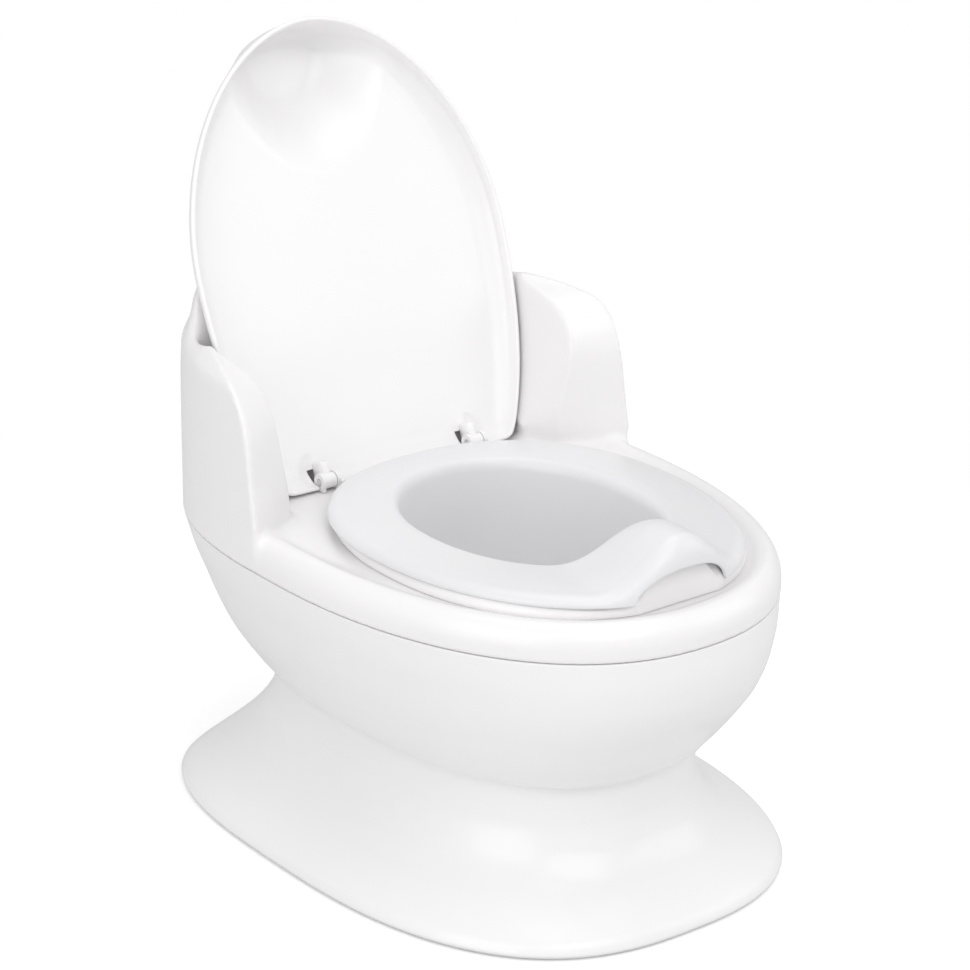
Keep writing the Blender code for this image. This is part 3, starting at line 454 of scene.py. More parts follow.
# inset and z of the turned-in foot, from the floor up to the hollow
PEDESTAL_SOLE = [(4.4, 1.0), (4.8, 1.4), (4.8, 2.2), (26, 2.2), (26, 5.2), (10, 5.2)]
# station, inset and z of the groove round the hollow, then the top edge
PEDESTAL_NECK = [(69.5, 20, 69.5), (69.5, 20, 72.7), (72.7, 3.0, 72.7), (84.0, 3.0, 84.0),
                 (PEDESTAL_TOP, 2.4, PEDESTAL_TOP), (PEDESTAL_TOP, 0.7, PEDESTAL_TOP)]


def pedestal_ring(station, inset=0.0, z=None):
    """Outline at a station's height, or that outline moved to z."""
    half_width, front = PEDESTAL(station)
    up = min(1.0, max(0.0, station / PEDESTAL_TOP))
    back = lerp(126.0, 190.4, (1 - up) ** 1.5)
    shape = (half_width, front, back, PLAN_Y, lerp(2.62, 2.35, up), lerp(3.1, 2.69, up))
    return oval_ring(shape, PLAN_ANGLES, station if z is None else z, inset)


rings = [pedestal_ring(z) for z in np.linspace(PEDESTAL_TOP, PEDESTAL_FOOT, 64)]
for k in range(1, 9):
    turn = math.pi / 2 * k / 8
    rings.append(pedestal_ring(PEDESTAL_FOOT, 2.6 * (1 - math.cos(turn)),
                               PEDESTAL_FOOT - 2.8 * math.sin(turn)))
rings += [pedestal_ring(PEDESTAL_FOOT, inset, z) for inset, z in PEDESTAL_SOLE]
rings += [pedestal_ring(z, 3.8 if z < 30 else 3.4) for z in np.linspace(14.0, 69.5, 20)]
rings += [pedestal_ring(*row) for row in PEDESTAL_NECK]
install(skin("pedestal_shell", rings, closed=True),
        "chair", "pedestal_base", BOWL_WHITE)

# ------------------------------------------------------------------ bowl
BOWL_TOP, BOWL_FOOT = 179.2, 85.4
BOWL = curves([             # z, half width, front reach, back reach
    (BOWL_TOP, 139.4, 214.4, 185.0), (164.0, 136.2, 214.6, 180.3),
    (148.0, 131.4, 212.6, 173.2), (131.0, 126.2, 206.0, 165.6),
    (116.0, 120.2, 195.5, 157.3), (101.0, 111.6, 183.6, 144.6),
    (90.0, 104.0, 174.0, 133.8), (BOWL_FOOT, 100.8, 170.4, 129.6)])
# station, inset and z of the inside floor, and of the step and plug underneath
BOWL_FLOOR = [(BOWL_FOOT, 40, 77.0), (BOWL_FOOT, 20, 77.0), (BOWL_FOOT, 15.8, 82.0),
              (90.0, 6.0, 91.5)]
BOWL_PLUG = [(BOWL_FOOT, 4.0, 84.96), (BOWL_FOOT, 12.3, 84.92), (BOWL_FOOT, 12.8, 84.2),
             (BOWL_FOOT, 12.8, 73.0)]
BOWL_LIP_R, BOWL_FOOT_R = 0.6, 1.4


def bowl_ring(station, inset=0.0, z=None):
    """Outline at a station's height, or that outline moved to z."""
    up = min(1.0, max(0.0, (station - BOWL_FOOT) / (BOWL_TOP - BOWL_FOOT)))
    shape = (*BOWL(station), PLAN_Y, lerp(2.35, RIM_POWER_F, up), lerp(2.69, RIM_POWER_B, up))
    return oval_ring(shape, PLAN_ANGLES, station if z is None else z, inset)


rings = [bowl_ring(*row) for row in BOWL_FLOOR]
rings += [bowl_ring(z, 3.4) for z in np.linspace(98.0, 178.0, 24)]
rings += [bowl_ring(BOWL_TOP, 3.0), bowl_ring(BOWL_TOP, BOWL_LIP_R)]
for k in range(1, 6):
    turn = math.pi / 2 * k / 5
    rings.append(bowl_ring(BOWL_TOP, BOWL_LIP_R * (1 - math.sin(turn)),
                           178.6 + BOWL_LIP_R * math.cos(turn)))
rings += [bowl_ring(z) for z in np.linspace(177.6, 87.0, 64)]
for k in range(0, 7):
    turn = math.pi / 2 * k / 6
    rings.append(bowl_ring(86.4, BOWL_FOOT_R * (1 - math.cos(turn)) + 0.4,
                           86.4 - BOWL_FOOT_R * math.sin(turn)))
rings += [bowl_ring(*row) for row in BOWL_PLUG]
install(skin("bowl_body", rings), "chair", "bowl_shell", BOWL_WHITE)

# ------------------------------------------------------------------ lid outline
# Half width, and where it is widest along the lid; the reach from there to the
# tip and to the root, each with its power. The shift slides it all to the hinge.
LEAN = math.radians(20.4)
LID_W, LID_WIDEST, LID_SHIFT = 112.0, 135.0, 3.5
LID_TIP, LID_ROOT = 141.0, 191.0
LID_POWER_TIP, LID_POWER_ROOT = 1.89, 2.23
LID_GAP = 2.2               # play between the lid's edge and the arms
RECESS = 21.0               # from the lid's plane back to the tank's face


def lid_half_width(along):
    """Half width at a distance from the hinge."""
    station = np.asarray(along, float) + LID_SHIFT
    root = unit((LID_WIDEST - station) / LID_ROOT)
    tip = unit((station - LID_WIDEST) / LID_TIP)
    return np.where(station < LID_WIDEST,
                    LID_W * (1 - root ** LID_POWER_ROOT) ** (1 / LID_POWER_ROOT),
                    LID_W * (1 - tip ** LID_POWER_TIP) ** (1 / LID_POWER_TIP))


def lean_y(z):
    return HINGE_Y + math.tan(LEAN) * (z - HINGE_Z)


def recess_y(z):
    return lean_y(z) + RECESS


def clear_x(y, z):
    """Half width that lets the lid swing past."""
    along = math.hypot(y - HINGE_Y, z - HINGE_Z)
    if y > lean_y(z) and z > HINGE_Z + 2:
        along = min(along, (z - HINGE_Z) / math.cos(LEAN))
    return float(lid_half_width(max(2.0, along))) + LID_GAP


# ------------------------------------------------------------------ tank and arms
# Inset of tank and arms from the rim, by z; the back takes only a share of it.
shoulder = curve([180.0, 270.0, 284.0, 289.0, 293.0, 298.0, 306.0, 311.5, 315.0, 317.0],
                 [0.0, 1.6, 2.6, 4.6, 7.4, 9.6, 11.8, 14.4, 19.0, 27.0])
BACK_SHARE = 0.36
CROWN_Z, CROWN_RISE = 279.0, 13.3      # where an arm starts to round over
ARM_TOP = CROWN_Z + CROWN_RISE
ARM_BEND_Z = 289.0                     # above this the arm's front runs back fast
ARM_BACK = 150.0                       # y where an arm ends inside the tank
# z, y of the outer front fold, y of the inner front edge
ARM_PLAN = curves([
    (179.9, 29.0, 55.0), (192.0, 30.0, 55.0), (217.0, 34.0, 55.0), (233.0, 36.5, 54.0),
    (244.0, 38.0, 53.5), (255.0, 40.0, 53.8), (264.0, 43.0, 56.0), (272.0, 46.5, 60.5),
    (279.0, 52.0, 68.5), (284.0, 58.0, 80.0), (287.0, 66.0, 94.0), (ARM_BEND_Z, 78.0, 106.0)])
ARM_CROWN = curves([(0.0, 78.0, 106.0), (ARM_BEND_Z, 78.0, 106.0), (291.0, 87.0, 113.0),
                    (ARM_TOP, 97.0, 120.0)])


def wall_x(y, inset):
    """Half width of the rim's outline at y, taken in by an inset."""
    away = y - PLAN_Y
    if away < 0:
        power, reach = RIM_POWER_F, RIM_F - inset
    else:
        power, reach = RIM_POWER_B, RIM_B - BACK_SHARE * inset
    return (RIM_W - inset) * (1 - min(1.0, abs(away) / reach) ** power) ** (1 / power)


def tank_ring(z, count=200):
    """Tank outline: the face behind the lid, the sides and the back."""
    inset = shoulder(z)
    face_y = recess_y(z)
    half_width, back = RIM_W - inset, RIM_B - BACK_SHARE * inset
    start = math.asin(min(1.0, max(0.0, (face_y - PLAN_Y) / back)) ** (RIM_POWER_B / 2))
    corner_x = half_width * math.cos(start) ** (2 / RIM_POWER_B)
    face = [(corner_x * t, face_y + 1.6 * (1 - t * t)) for t in np.linspace(0, 1, 12)]
    arc = []
    for k in range(1, 61):
        a = lerp(start, math.pi / 2, k / 60)
        arc.append((half_width * abs(math.cos(a)) ** (2 / RIM_POWER_B),
                    PLAN_Y + back * abs(math.sin(a)) ** (2 / RIM_POWER_B)))
    corner_radius = float(lerp(0.8, 8.0, smooth((z - 291.0) / 12.0)))
    right = resample(bend(face + arc, len(face) - 1, corner_radius), count)
    return level(np.concatenate([right, mirrored(right)[1:-1]]), z)


def arm_outline(z):
    """Clockwise outline of the +X arm, with the index of its outer front fold
    and of its inner front edge."""
    inset = shoulder(z)
    crown = 0.0
    if z > CROWN_Z:
        crown = 9.0 * (1 - math.sqrt(max(0.0, 1 - ((z - CROWN_Z) / CROWN_RISE) ** 2)))
    fold_y, edge_y = ARM_PLAN(z) if z <= ARM_BEND_Z else ARM_CROWN(z)

    def outer(y):
        sink = 2.6 * float(smooth((y - recess_y(z) - 1.0) / 7.0))
        return wall_x(y, inset) - crown - sink

    def inner(y):
        return min(clear_x(y, z) + 0.3 * crown, outer(y) - 1.5)

    points = [(outer(y), y) for y in np.linspace(ARM_BACK, fold_y, 26)]
    fold = len(points) - 1
    points.append((lerp(outer(fold_y), inner(edge_y), 0.5), lerp(fold_y, edge_y, 0.46)))
    points.append((inner(edge_y), edge_y))
    edge = len(points) - 1
    points += [(inner(y), y) for y in np.linspace(edge_y, ARM_BACK, 20)[1:]]
    return points, fold, edge


def arm_ring(z, side):
    points, fold, edge = arm_outline(z)
    round_share = 1.0
    if z > CROWN_Z:
        round_share = math.sqrt(max(0.0, 1 - ((z - CROWN_Z) / 13.4) ** 2))
    points = bend(points, edge, 0.6 + 3.2 * round_share)
    points = bend(points, fold, 1.0 + 8.5 * round_share)
    points = resample(points, 150)
    return level(mirrored(points) if side < 0 else points, z)


def saddle_ring(z, side):
    """Slice of the soft saddle that carries an arm's crown into the tank."""
    inset = shoulder(z)
    face_y, size = recess_y(z), 13.0
    height = min(size, max(0.0, z - 287.5))
    front_y = face_y - (size - math.sqrt(size * size - (size - height) ** 2))
    back_y = face_y + 9.0
    cap = 1.2 + 5.0 * (height / size) ** 2

    def outer(y):
        return wall_x(y, inset) - cap

    inner_x = min(clear_x(front_y, z) + 1.0 + 0.5 * cap, outer(front_y) - 2.0)
    points = [(outer(y), y) for y in np.linspace(back_y, front_y, 10)]
    points += [(inner_x, front_y), (inner_x, back_y)]
    points = resample(bend(points, 9, 4.0), 90)
    return level(mirrored(points) if side < 0 else points, z)


# ------------------------------------------------------------------ upper shell
DECK = (RIM_W - 0.3, RIM_F - 0.3, RIM_B - 0.3, PLAN_Y, RIM_POWER_F, RIM_POWER_B)
BEAD = curves([             # step along the bead, inset, z
    (0.0, 0.0, SEAM_Z + 1.2), (1.0, 0.0, 186.5), (2.0, 0.9, 191.4), (3.0, 3.2, 196.0),
    (4.0, 6.6, 199.3), (5.0, 10.4, BEAD_Z), (6.0, 14.0, 199.9), (7.0, 18.0, 197.9),
    (8.0, 22.0, DECK_Z)])
TANK_LEVELS = [*np.arange(181.0, 280.0, 3.0), *np.arange(280.0, 312.0, 1.5),
               312.4, 313.4, 314.2, 315.0, 315.6, 316.1, 316.5, 316.8, 317.0]
ARM_LEVELS = [*np.arange(181.0, CROWN_Z, 2.0), *np.arange(CROWN_Z, 288.0, 0.75),
              288.5, 289.2, 289.8, 290.4, 290.9, 291.3, 291.6, 291.9, 292.1, 292.25]
VOXEL = 0.0014
# half width, front, back, centre y, powers of the seat's opening
HOLE = (71.0, 93.0, 92.5, -46.0, 2.25, 2.3)


def deck_rings(rows, count):
    return [oval_ring(DECK, turns(count), z, inset) for inset, z in rows]


def fuse_shell():
    """Deck, tank and arms melted into one skin."""
    bead = [(0.6, SEAM_Z), (0.18, SEAM_Z + 0.2), (0.0, SEAM_Z + 0.7)]
    bead += [BEAD(step) for step in np.linspace(0.05, 8.0, 40)]
    shell = skin("upper_shell_body", deck_rings(bead, 320))
    forms = [skin("tank_form", [tank_ring(z) for z in TANK_LEVELS])]
    for side in (-1, 1):
        forms.append(skin("arm_form", [arm_ring(z, side) for z in ARM_LEVELS]))
        forms.append(skin("saddle_form",
                          [saddle_ring(z, side) for z in np.linspace(284.0, 300.3, 22)]))
    shape = bmesh.new()
    shape.from_mesh(shell.data)
    for form in forms:
        shape.from_mesh(form.data)
        bpy.data.objects.remove(form, do_unlink=True)
    shape.to_mesh(shell.data)
    shape.free()
    modifier = shell.modifiers.new("fuse", "REMESH")
    modifier.mode = "VOXEL"
    modifier.voxel_size = VOXEL
    apply_modifiers(shell)
    return shell


def relax(ob, base_steps, fillet_steps, zone):
    """Evens out the fused skin, then opens up its inside corners into soft
    fillets where zone says so."""
    mesh = ob.data
    count = len(mesh.vertices)
    places = np.zeros(count * 3)
    mesh.vertices.foreach_get("co", places)
    places = places.reshape(-1, 3)
    edges = np.zeros(len(mesh.edges) * 2, np.int64)
    mesh.edges.foreach_get("vertices", edges)
    edges = edges.reshape(-1, 2)
    start, end = edges[:, 0], edges[:, 1]
    neighbours = np.bincount(edges.ravel(), minlength=count).astype(float)

    def mean(values):
        out = np.empty_like(values)
        for c in range(3):
            out[:, c] = (np.bincount(start, values[end, c], count)
                         + np.bincount(end, values[start, c], count)) / neighbours
        return out

    for _ in range(base_steps):
        places += 0.6 * (mean(places) - places)
        places -= 0.62 * (mean(places) - places)
    weight = zone(places)[:, None]
    for _ in range(fillet_steps):
        places += 0.55 * weight * (mean(places) - places)
    mesh.vertices.foreach_set("co", places.ravel())
    mesh.update()


ARM_FOOT = arm_ring(200.0, 1)[:, :2]


def near_foot(places):
    """1 close to where the arms stand on the deck, else 0."""
    points = places * 1000.0
    points[:, 1] -= SHIFT_Y
    weight = np.zeros(len(points))
    y, z = points[:, 1], points[:, 2]
    close = np.where((np.abs(z - DECK_Z) < 9.0) & (y > 15.0) & (y < 112.0))[0]
    side_x, y, z = np.abs(points[close, 0]), y[close], z[close]
    distance = np.full(len(close), 1e9)
    for foot_x, foot_y in ARM_FOOT[::2]:
        distance = np.minimum(distance, np.hypot(side_x - foot_x, y - foot_y))
    weight[close] = unit(1 - distance / 7.0) * unit(1 - np.abs(z - DECK_Z - 1) / 8.0)
    return unit(1.8 * weight)


def near_crown(places):
    """1 close to where the top of an arm runs into the tank, else 0."""
    x, y, z = (places * 1000.0).T
    face_y = recess_y(z) + SHIFT_Y
    front = unit(1 - np.abs(y - face_y + 3.0) / 20.0) * unit(1 - np.abs(z - ARM_TOP - 1.0) / 17.0)
    back = (unit(1 - np.abs(y - SHIFT_Y - 142.0) / 18.0)
            * unit(1 - np.abs(z - 284.0) / 14.0))
    return unit(np.maximum(2.0 * front * (np.abs(x) > 84.0), 2.2 * back * (np.abs(x) > 108.0)))


def tank_core(z, source_z):
    """Tank outline of source_z, shrunk by the wall and placed at z."""
    outline = tank_ring(source_z, 60)
    x, y = outline[:, 0], outline[:, 1]
    thick = float(smooth((z - 255.0) / 18.0))
    scale_x = 1 - (4.4 + 8.0 * thick) / x.max()
    scale_y = 1 - (6.4 + 6.0 * thick) / (y.max() - y.min())
    centre_y = (y.min() + y.max()) / 2
    return ring_of(x * scale_x, centre_y + (y - centre_y) * scale_y, z)


def arm_core(z, side):
    """Arm outline pulled in by the wall, which thickens towards the top."""
    points, fold, _ = arm_outline(z)
    thick = float(smooth((z - 246.0) / 18.0))
    core = pulled_in(resample(bend(points, fold, 6.0), 64), 3.1 + 2.0 * thick)
    core[:, 1] = np.where(core[:, 1] > 145.0 - 6.0 * thick, core[:, 1] + 1.0 - 4.0 * thick,
                          core[:, 1])
    return level(mirrored(core) if side < 0 else core, z)


def shell_cutters():
    """Hollows of deck, tank and arms, then the openings."""
    hollow = [(3.0, SEAM_Z - 6), (3.0, 186.0), (4.6, 191.0), (9.0, 193.4)]
    # z and source z: the roof of the hollow lags the tank's own outline
    core_levels = [(z, z) for z in (186.0, 215.0, 240.0, 254.0, 264.0, 273.0, 281.0, 292.0)]
    core_levels += [(299.0, 302.0), (303.5, 307.0), (308.5, 311.5), (313.0, 314.8)]
    cutters = [skin("cut_deck", deck_rings(hollow, 120)),
               skin("cut_tank", [tank_core(*row) for row in core_levels])]
    for side in (-1, 1):
        cutters.append(skin("cut_arm", [arm_core(z, side) for z in
                                        (186.0, 204.0, 217.0, 233.0, 244.0, 252.0, 260.0)]))
    cutters.append(skin("cut_hole", [oval_ring(HOLE, turns(160), z, -3.4)
                                     for z in (190.0, 199.0)]))
    hole_r = BUTTON_R + 0.6
    cutters.append(lathe("cut_button", [
        (0, 308), (hole_r, 308), (hole_r, 315.9), (11.9, 316.5), (13.0, 317.2), (14.6, 318.5),
        (14.6, 325), (0, 325)], (BUTTON_X, BUTTON_Y, 0)))
    gap = 0.0004
    cutters.append(rounded_box(
        "cut_back", (DOOR_LO.x - gap, DOOR_LO.y - 0.006, DOOR_LO.z - gap),
        (DOOR_HI.x + gap, DOOR_HI.y + 0.02, DOOR_HI.z + gap), 0.0006, 2))
    return cutters


deck = fuse_shell()
relax(deck, 8, 34, near_foot)
relax(deck, 0, 90, near_crown)
combine(deck, shell_cutters())
shape = bmesh.new()
shape.from_mesh(deck.data)
bmesh.ops.remove_doubles(shape, verts=shape.verts, dist=2e-6)
bmesh.ops.dissolve_degenerate(shape, dist=1e-6, edges=shape.edges)
shape.to_mesh(deck.data)
shape.free()
shade(deck.data, 42)
install(deck, "chair", "upper_shell", SHELL_WHITE)

# ------------------------------------------------------------------ support ring
# Across the ring, t runs from 0 at the hole to 1 outside; past FLAT it rolls down.
FLAT = 0.80
RING_Y = -50.0
RING_EDGE = (106.0, 130.0, 125.0, RING_Y, 2.2, 2.25)
RING_ANGLES = nosed(860, gain=0.9, width=0.55)
HOLE_X, HOLE_Y = oval(HOLE, RING_ANGLES)
EDGE_X, EDGE_Y = oval(RING_EDGE, RING_ANGLES)
ring_top = curve([0.0, 0.012, 0.035, 0.07, 0.12, 0.22, 0.34, 0.5, 0.62, 0.72, FLAT],
                 [202.0, 203.9, 205.2, 206.0, 206.45, 206.65, 206.6, 206.5, 206.2, 205.7, 204.9])
SCREWS = [(74.7, 18.6), (40.3, 48.5)]


def path_field(x, y, points, radii):
    """Signed distance to a bent slot whose width changes along it."""
    best = np.full(np.shape(x), -1e9)
    for k in range(len(points) - 1):
        start, end = np.array(points[k], float), np.array(points[k + 1], float)
        step = end - start
        t = unit(((x - start[0]) * step[0] + (y - start[1]) * step[1]) / (step @ step))
        away = np.hypot(x - start[0] - t * step[0], y - start[1] - t * step[1])
        best = np.maximum(best, lerp(radii[k], radii[k + 1], t) - away)
    return best


def ring_point(t, degrees):
    """Point on the ring at an angle."""
    angle = math.radians(degrees)
    (x0, y0), (x1, y1) = oval(HOLE, angle), oval(RING_EDGE, angle)
    return lerp(x0, x1, t), lerp(y0, y1, t)


def slot_path(t0, t1, start, end, count=40):
    """Middle line and half width of a slot that follows the ring."""
    points, radii = [], []
    for k in range(count):
        angle = lerp(start, end, k / (count - 1))
        (x0, y0), (x1, y1) = ring_point(t0, angle), ring_point(t1, angle)
        taper = 1 - 0.5 * (1 - math.sin(math.pi * k / (count - 1))) ** 4
        points.append(((x0 + x1) / 2, (y0 + y1) / 2))
        radii.append(taper * math.hypot(x1 - x0, y1 - y0) / 2)
    return points, radii


REAR_SLOT = slot_path(0.25, 0.68, 67.8, 12.2)
FRONT_SLOT = slot_path(0.30, 0.52, 342.8, 305.2)
DOT = FRONT_SLOT[0][0]
NOTCH = ring_point(0.0, 304.0)


def ring_surface(t):
    """Top of the ring, all the way round, at a share t of its width."""
    x, y = lerp(HOLE_X, EDGE_X, t), lerp(HOLE_Y, EDGE_Y, t)
    side_x = np.abs(x)

    def away(point):
        return np.hypot(side_x - point[0], y - point[1])

    # hill at the nose
    hill = np.cos(np.pi / 2 * unit(side_x / 46.0)) ** 2
    z = ring_top(min(t, FLAT)) + 24.0 * hill * smooth((-102.0 - y) / 56.0)
    # pockets and slots, pressed in with steep soft walls:
    # distance inside, depth, how far the wall starts outside, run of the wall
    dents = [(path_field(side_x, y, *REAR_SLOT), 4.1, 0.2, 0.9),
             (path_field(side_x, y, *FRONT_SLOT), 4.2, 0.2, 0.9),
             (2.9 - away(DOT), 2.2, 0.3, 0.9)]
    dents += [(4.6 - away(screw), 2.8, 0.2, 0.7) for screw in SCREWS]
    for inside, depth, lead, run in dents:
        z = z - depth * smooth((inside + lead) / run)
    # little drip notches at the hole's edge
    notch = away(NOTCH)
    z = z - 3.4 * smooth((3.9 - notch + 0.6) / 2.4) * (1 - smooth((t - 0.05) / 0.1))
    z = z + 0.6 * np.exp(-((notch - 4.9) / 1.1) ** 2) * (1 - smooth((t - 0.05) / 0.12))
    if t > FLAT:
        roll = (t - FLAT) / (1 - FLAT)
        z = lerp(z, 197.9, 1 - math.sqrt(max(0.0, 1 - roll * roll)))
    # finger recess in the front of the hill, with a raised rim
    height = z - DECK_Z
    inside = 27.0 - np.hypot(x * 27.0 / 29.0, np.maximum(0.0, height - 2.0))
    front = (y < -150) & (t > 0.55)
    mask = np.where(front, smooth((inside + 0.2) / 2.2), 0.0)
    recess = np.maximum(y, -176.6 + 0.06 * np.maximum(height, 0))
    y = np.where(front, lerp(y, recess, mask), y)
    rim = np.where(front & (t > 0.6), np.exp(-((inside + 3.4) / 2.3) ** 2), 0.0)
    y = y - 1.5 * rim * smooth((t - 0.7) / 0.2) * smooth((height - 1) / 6.0)
    z = z + 0.8 * rim * smooth((height - 8) / 12.0)
    return ring_of(x, y, z)


def ring_shrunk(ring, scale, z):
    """Ring drawn in towards its centre and set to z."""
    return ring_of(ring[:, 0] * scale, RING_Y + (ring[:, 1] - RING_Y) * scale, z)


rings = [ring_of(HOLE_X, HOLE_Y, z) for z in (184.0, 190.0, 198.0)]
rings += [ring_surface(t) for t in np.concatenate([
    np.linspace(0.0, 0.05, 10), np.linspace(0.056, 0.78, 96), np.linspace(0.787, 1.0, 48)])]
last = rings[-1]
rear = smooth((last[:, 1] + 25.0) / 30.0)
UNDER_Z = 197.35
rings.append(ring_shrunk(last, 0.999, np.minimum(lerp(197.45, 198.0, rear), last[:, 2] - 0.1)))
rings.append(ring_shrunk(last, 1 - 0.018 * rear, UNDER_Z))
rings += [oval_ring(HOLE, RING_ANGLES, z, -2.9) for z in (UNDER_Z, 184.0)]
install(skin("seat_support_ring", rings, closed=True, sharp=60),
        "chair", "support_ring", SHELL_WHITE)

# ------------------------------------------------------------------ pot
# Across the flange, t runs from 0 at the mouth to 1 at the edge, flat up to FLAT.
POT_ANGLES = nosed(520, gain=1.6, width=0.45)
POT_WALL = 2.3
FLANGE_X, FLANGE_Y = oval((107.0, 143.0, 118.0, -41.0, 2.1, 2.3), POT_ANGLES)
MOUTH_X, MOUTH_Y = oval((70.0, 89.5, 84.0, -41.5, 2.15, 2.15), POT_ANGLES)
POT_W, POT_REACH, POT_FLOOR_Z, POT_FLOOR_R = 61.0, 83.0, 132.4, 7.1
NECK_W, NECK_REACH = 66.4, 86.6
pot_wall = curves([         # z, half width, reach to front and back
    (139.5, POT_W, POT_REACH), (150.0, 62.4, 84.3), (190.0, 65.2, 86.0),
    (203.0, NECK_W, NECK_REACH)])
flange_top = curve([0.06, 0.12, 0.2, 0.32, 0.48, 0.62, 0.74, 0.82],
                   [210.6, 211.3, 211.6, 211.6, 211.4, 211.0, 210.4, 209.8])
# the flange's edge arches up at the nose
ARCH = np.where(FLANGE_Y < -120,
                17.0 * unit(1 - unit(np.abs(FLANGE_X) / 33.0) ** 2.3) ** 0.62, 0.0)
FLANGE_EDGE_Z = 204.5 + ARCH


def guard(x, y):
    """Rise of the splash guard at the nose."""
    rise = 28.0 * smooth((-98.0 - y) / 62.0)
    return rise * np.cos(np.pi / 2 * unit(np.abs(x) / 50.0)) ** 2


def pot_body(half_width, reach):
    return oval((half_width, reach, reach, -45.0, 2.15, 2.15), POT_ANGLES)


def flange_plan(t):
    return lerp(MOUTH_X, FLANGE_X, t), lerp(MOUTH_Y, FLANGE_Y, t)


def flange_ring(t):
    x, y = flange_plan(t)
    if t <= FLAT:
        return ring_of(x, y, flange_top(t) + guard(x, y))
    flat_guard = guard(*flange_plan(FLAT))
    roll = (t - FLAT) / (1 - FLAT)
    arc = math.sqrt(max(0.0, 1 - roll * roll))
    z = lerp(flange_top(FLAT) + flat_guard, FLANGE_EDGE_Z, 1 - arc)
    return ring_of(x, y, z + (guard(x, y) - flat_guard) * (1 - roll) ** 0.5 * arc)


def pot_inside():
    """Inner face from the middle of the floor to the flange's edge."""
    rings = [ring_of(*pot_body(49.0 * k, 71.0 * k), POT_FLOOR_Z)
             for k in np.linspace(0.04, 1.0, 14)[:-1]]
    for turn in np.linspace(0, math.pi / 2, 12):
        inset = POT_FLOOR_R * (1 - math.sin(turn))
        rings.append(ring_of(*pot_body(POT_W - inset, POT_REACH - inset),
                             POT_FLOOR_Z + POT_FLOOR_R * (1 - math.cos(turn))))
    rings += [ring_of(*pot_body(*pot_wall(z)), z) for z in np.linspace(142.0, 201.0, 24)]
    neck_x, neck_y = pot_body(NECK_W, NECK_REACH)
    brim_x, brim_y = flange_plan(0.075)
    brim_z = 210.8 + guard(brim_x, brim_y)
    for turn in np.linspace(0.12, math.pi / 2, 14):
        t = 1 - math.cos(turn)
        rings.append(ring_of(lerp(neck_x, brim_x, t), lerp(neck_y, brim_y, t),
                             lerp(202.0, brim_z, math.sin(turn))))
    rings += [flange_ring(t) for t in np.linspace(0.10, FLAT, 34)]
    rings += [flange_ring(FLAT + (1 - FLAT) * t)
              for t in np.sin(np.linspace(0.06, 1.0, 26) * math.pi / 2)]
    return np.array(rings)


def wall_behind(grid, thick):
    """Outer skin a wall's thickness behind the inner face."""
    around = np.roll(grid, -1, 1) - np.roll(grid, 1, 1)
    across = np.empty_like(grid)
    across[1:-1] = grid[2:] - grid[:-2]
    across[0], across[-1] = grid[1] - grid[0], grid[-1] - grid[-2]
    normal = np.cross(around, across)
    normal /= np.maximum(np.linalg.norm(normal, axis=2), 1e-9)[:, :, None]
    return grid + normal * thick


inner = pot_inside()
outer = wall_behind(inner, POT_WALL)
# rounded edge between the two skins
middle, half = (inner[-1] + outer[-1]) / 2, (inner[-1] - outer[-1]) / 2
DOWN = np.array([0.0, 0.0, -1.0])
edge_rings = [middle + half * math.cos(turn) + DOWN * 1.1 * math.sin(turn)
              for turn in np.linspace(0, math.pi, 9)[1:-1]]
install(skin("lift_out_pot", [*inner, *edge_rings, *outer[::-1]], sharp=70),
        "pot_body", "potty_pot", POT_WHITE)

# ------------------------------------------------------------------ lid
# Places on the lid are x, the distance along it from the hinge, and the depth
# behind its front plane.
LID_END, LID_WALL = -5.0, 2.7
LID_CENTRE = 128.0
KNUCKLE_X, KNUCKLE_HALF = 55.0, 3.6


def lid_outline(count=420):
    half = [(x, LID_END + 0.9 * (x / 80.0) ** 2) for x in np.linspace(0, 78.0, 40)]
    half += [(81.6, -3.9), (84.4, -2.6), (86.5, -0.4), (87.8, 2.6)]    # root corner
    half += [(float(lid_half_width(along)), along) for along in np.linspace(5.0, 128.0, 60)]
    for a in np.linspace(0, math.pi / 2, 120):
        half.append((LID_W * math.cos(a) ** (2 / LID_POWER_TIP),
                     LID_WIDEST - LID_SHIFT + LID_TIP * math.sin(a) ** (2 / LID_POWER_TIP)))
    right = resample(half, count // 2 + 1)
    outline = np.concatenate([right, mirrored(right)[1:-1]])
    for _ in range(3):
        outline = 0.5 * outline + 0.25 * (np.roll(outline, 1, 0) + np.roll(outline, -1, 0))
    return outline


OUTLINE_X, OUTLINE_ALONG = lid_outline().T
OUTLINE_R = np.hypot(OUTLINE_X, OUTLINE_ALONG - LID_CENTRE)


def lid_depth(x, along):
    base = lerp(9.6, 12.5, smooth((along + 2.0) / 62.0))
    away = np.sqrt((x / 62.0) ** 2 + ((262.0 - np.minimum(along, 262.0)) / 84.0) ** 2)
    return base + 26.5 * smooth(1.55 * (1 - away))


def leaf(x, along):
    """Shallow scoop beside each hinge."""
    dx, dy = np.abs(x) - 62.5, along - 9.5
    turn = 0.45
    short = (dx * math.cos(turn) + dy * math.sin(turn)) / 4.6
    long = (-dx * math.sin(turn) + dy * math.cos(turn)) / 10.5
    return smooth((1 - np.sqrt(short * short + long * long)) / 0.45)


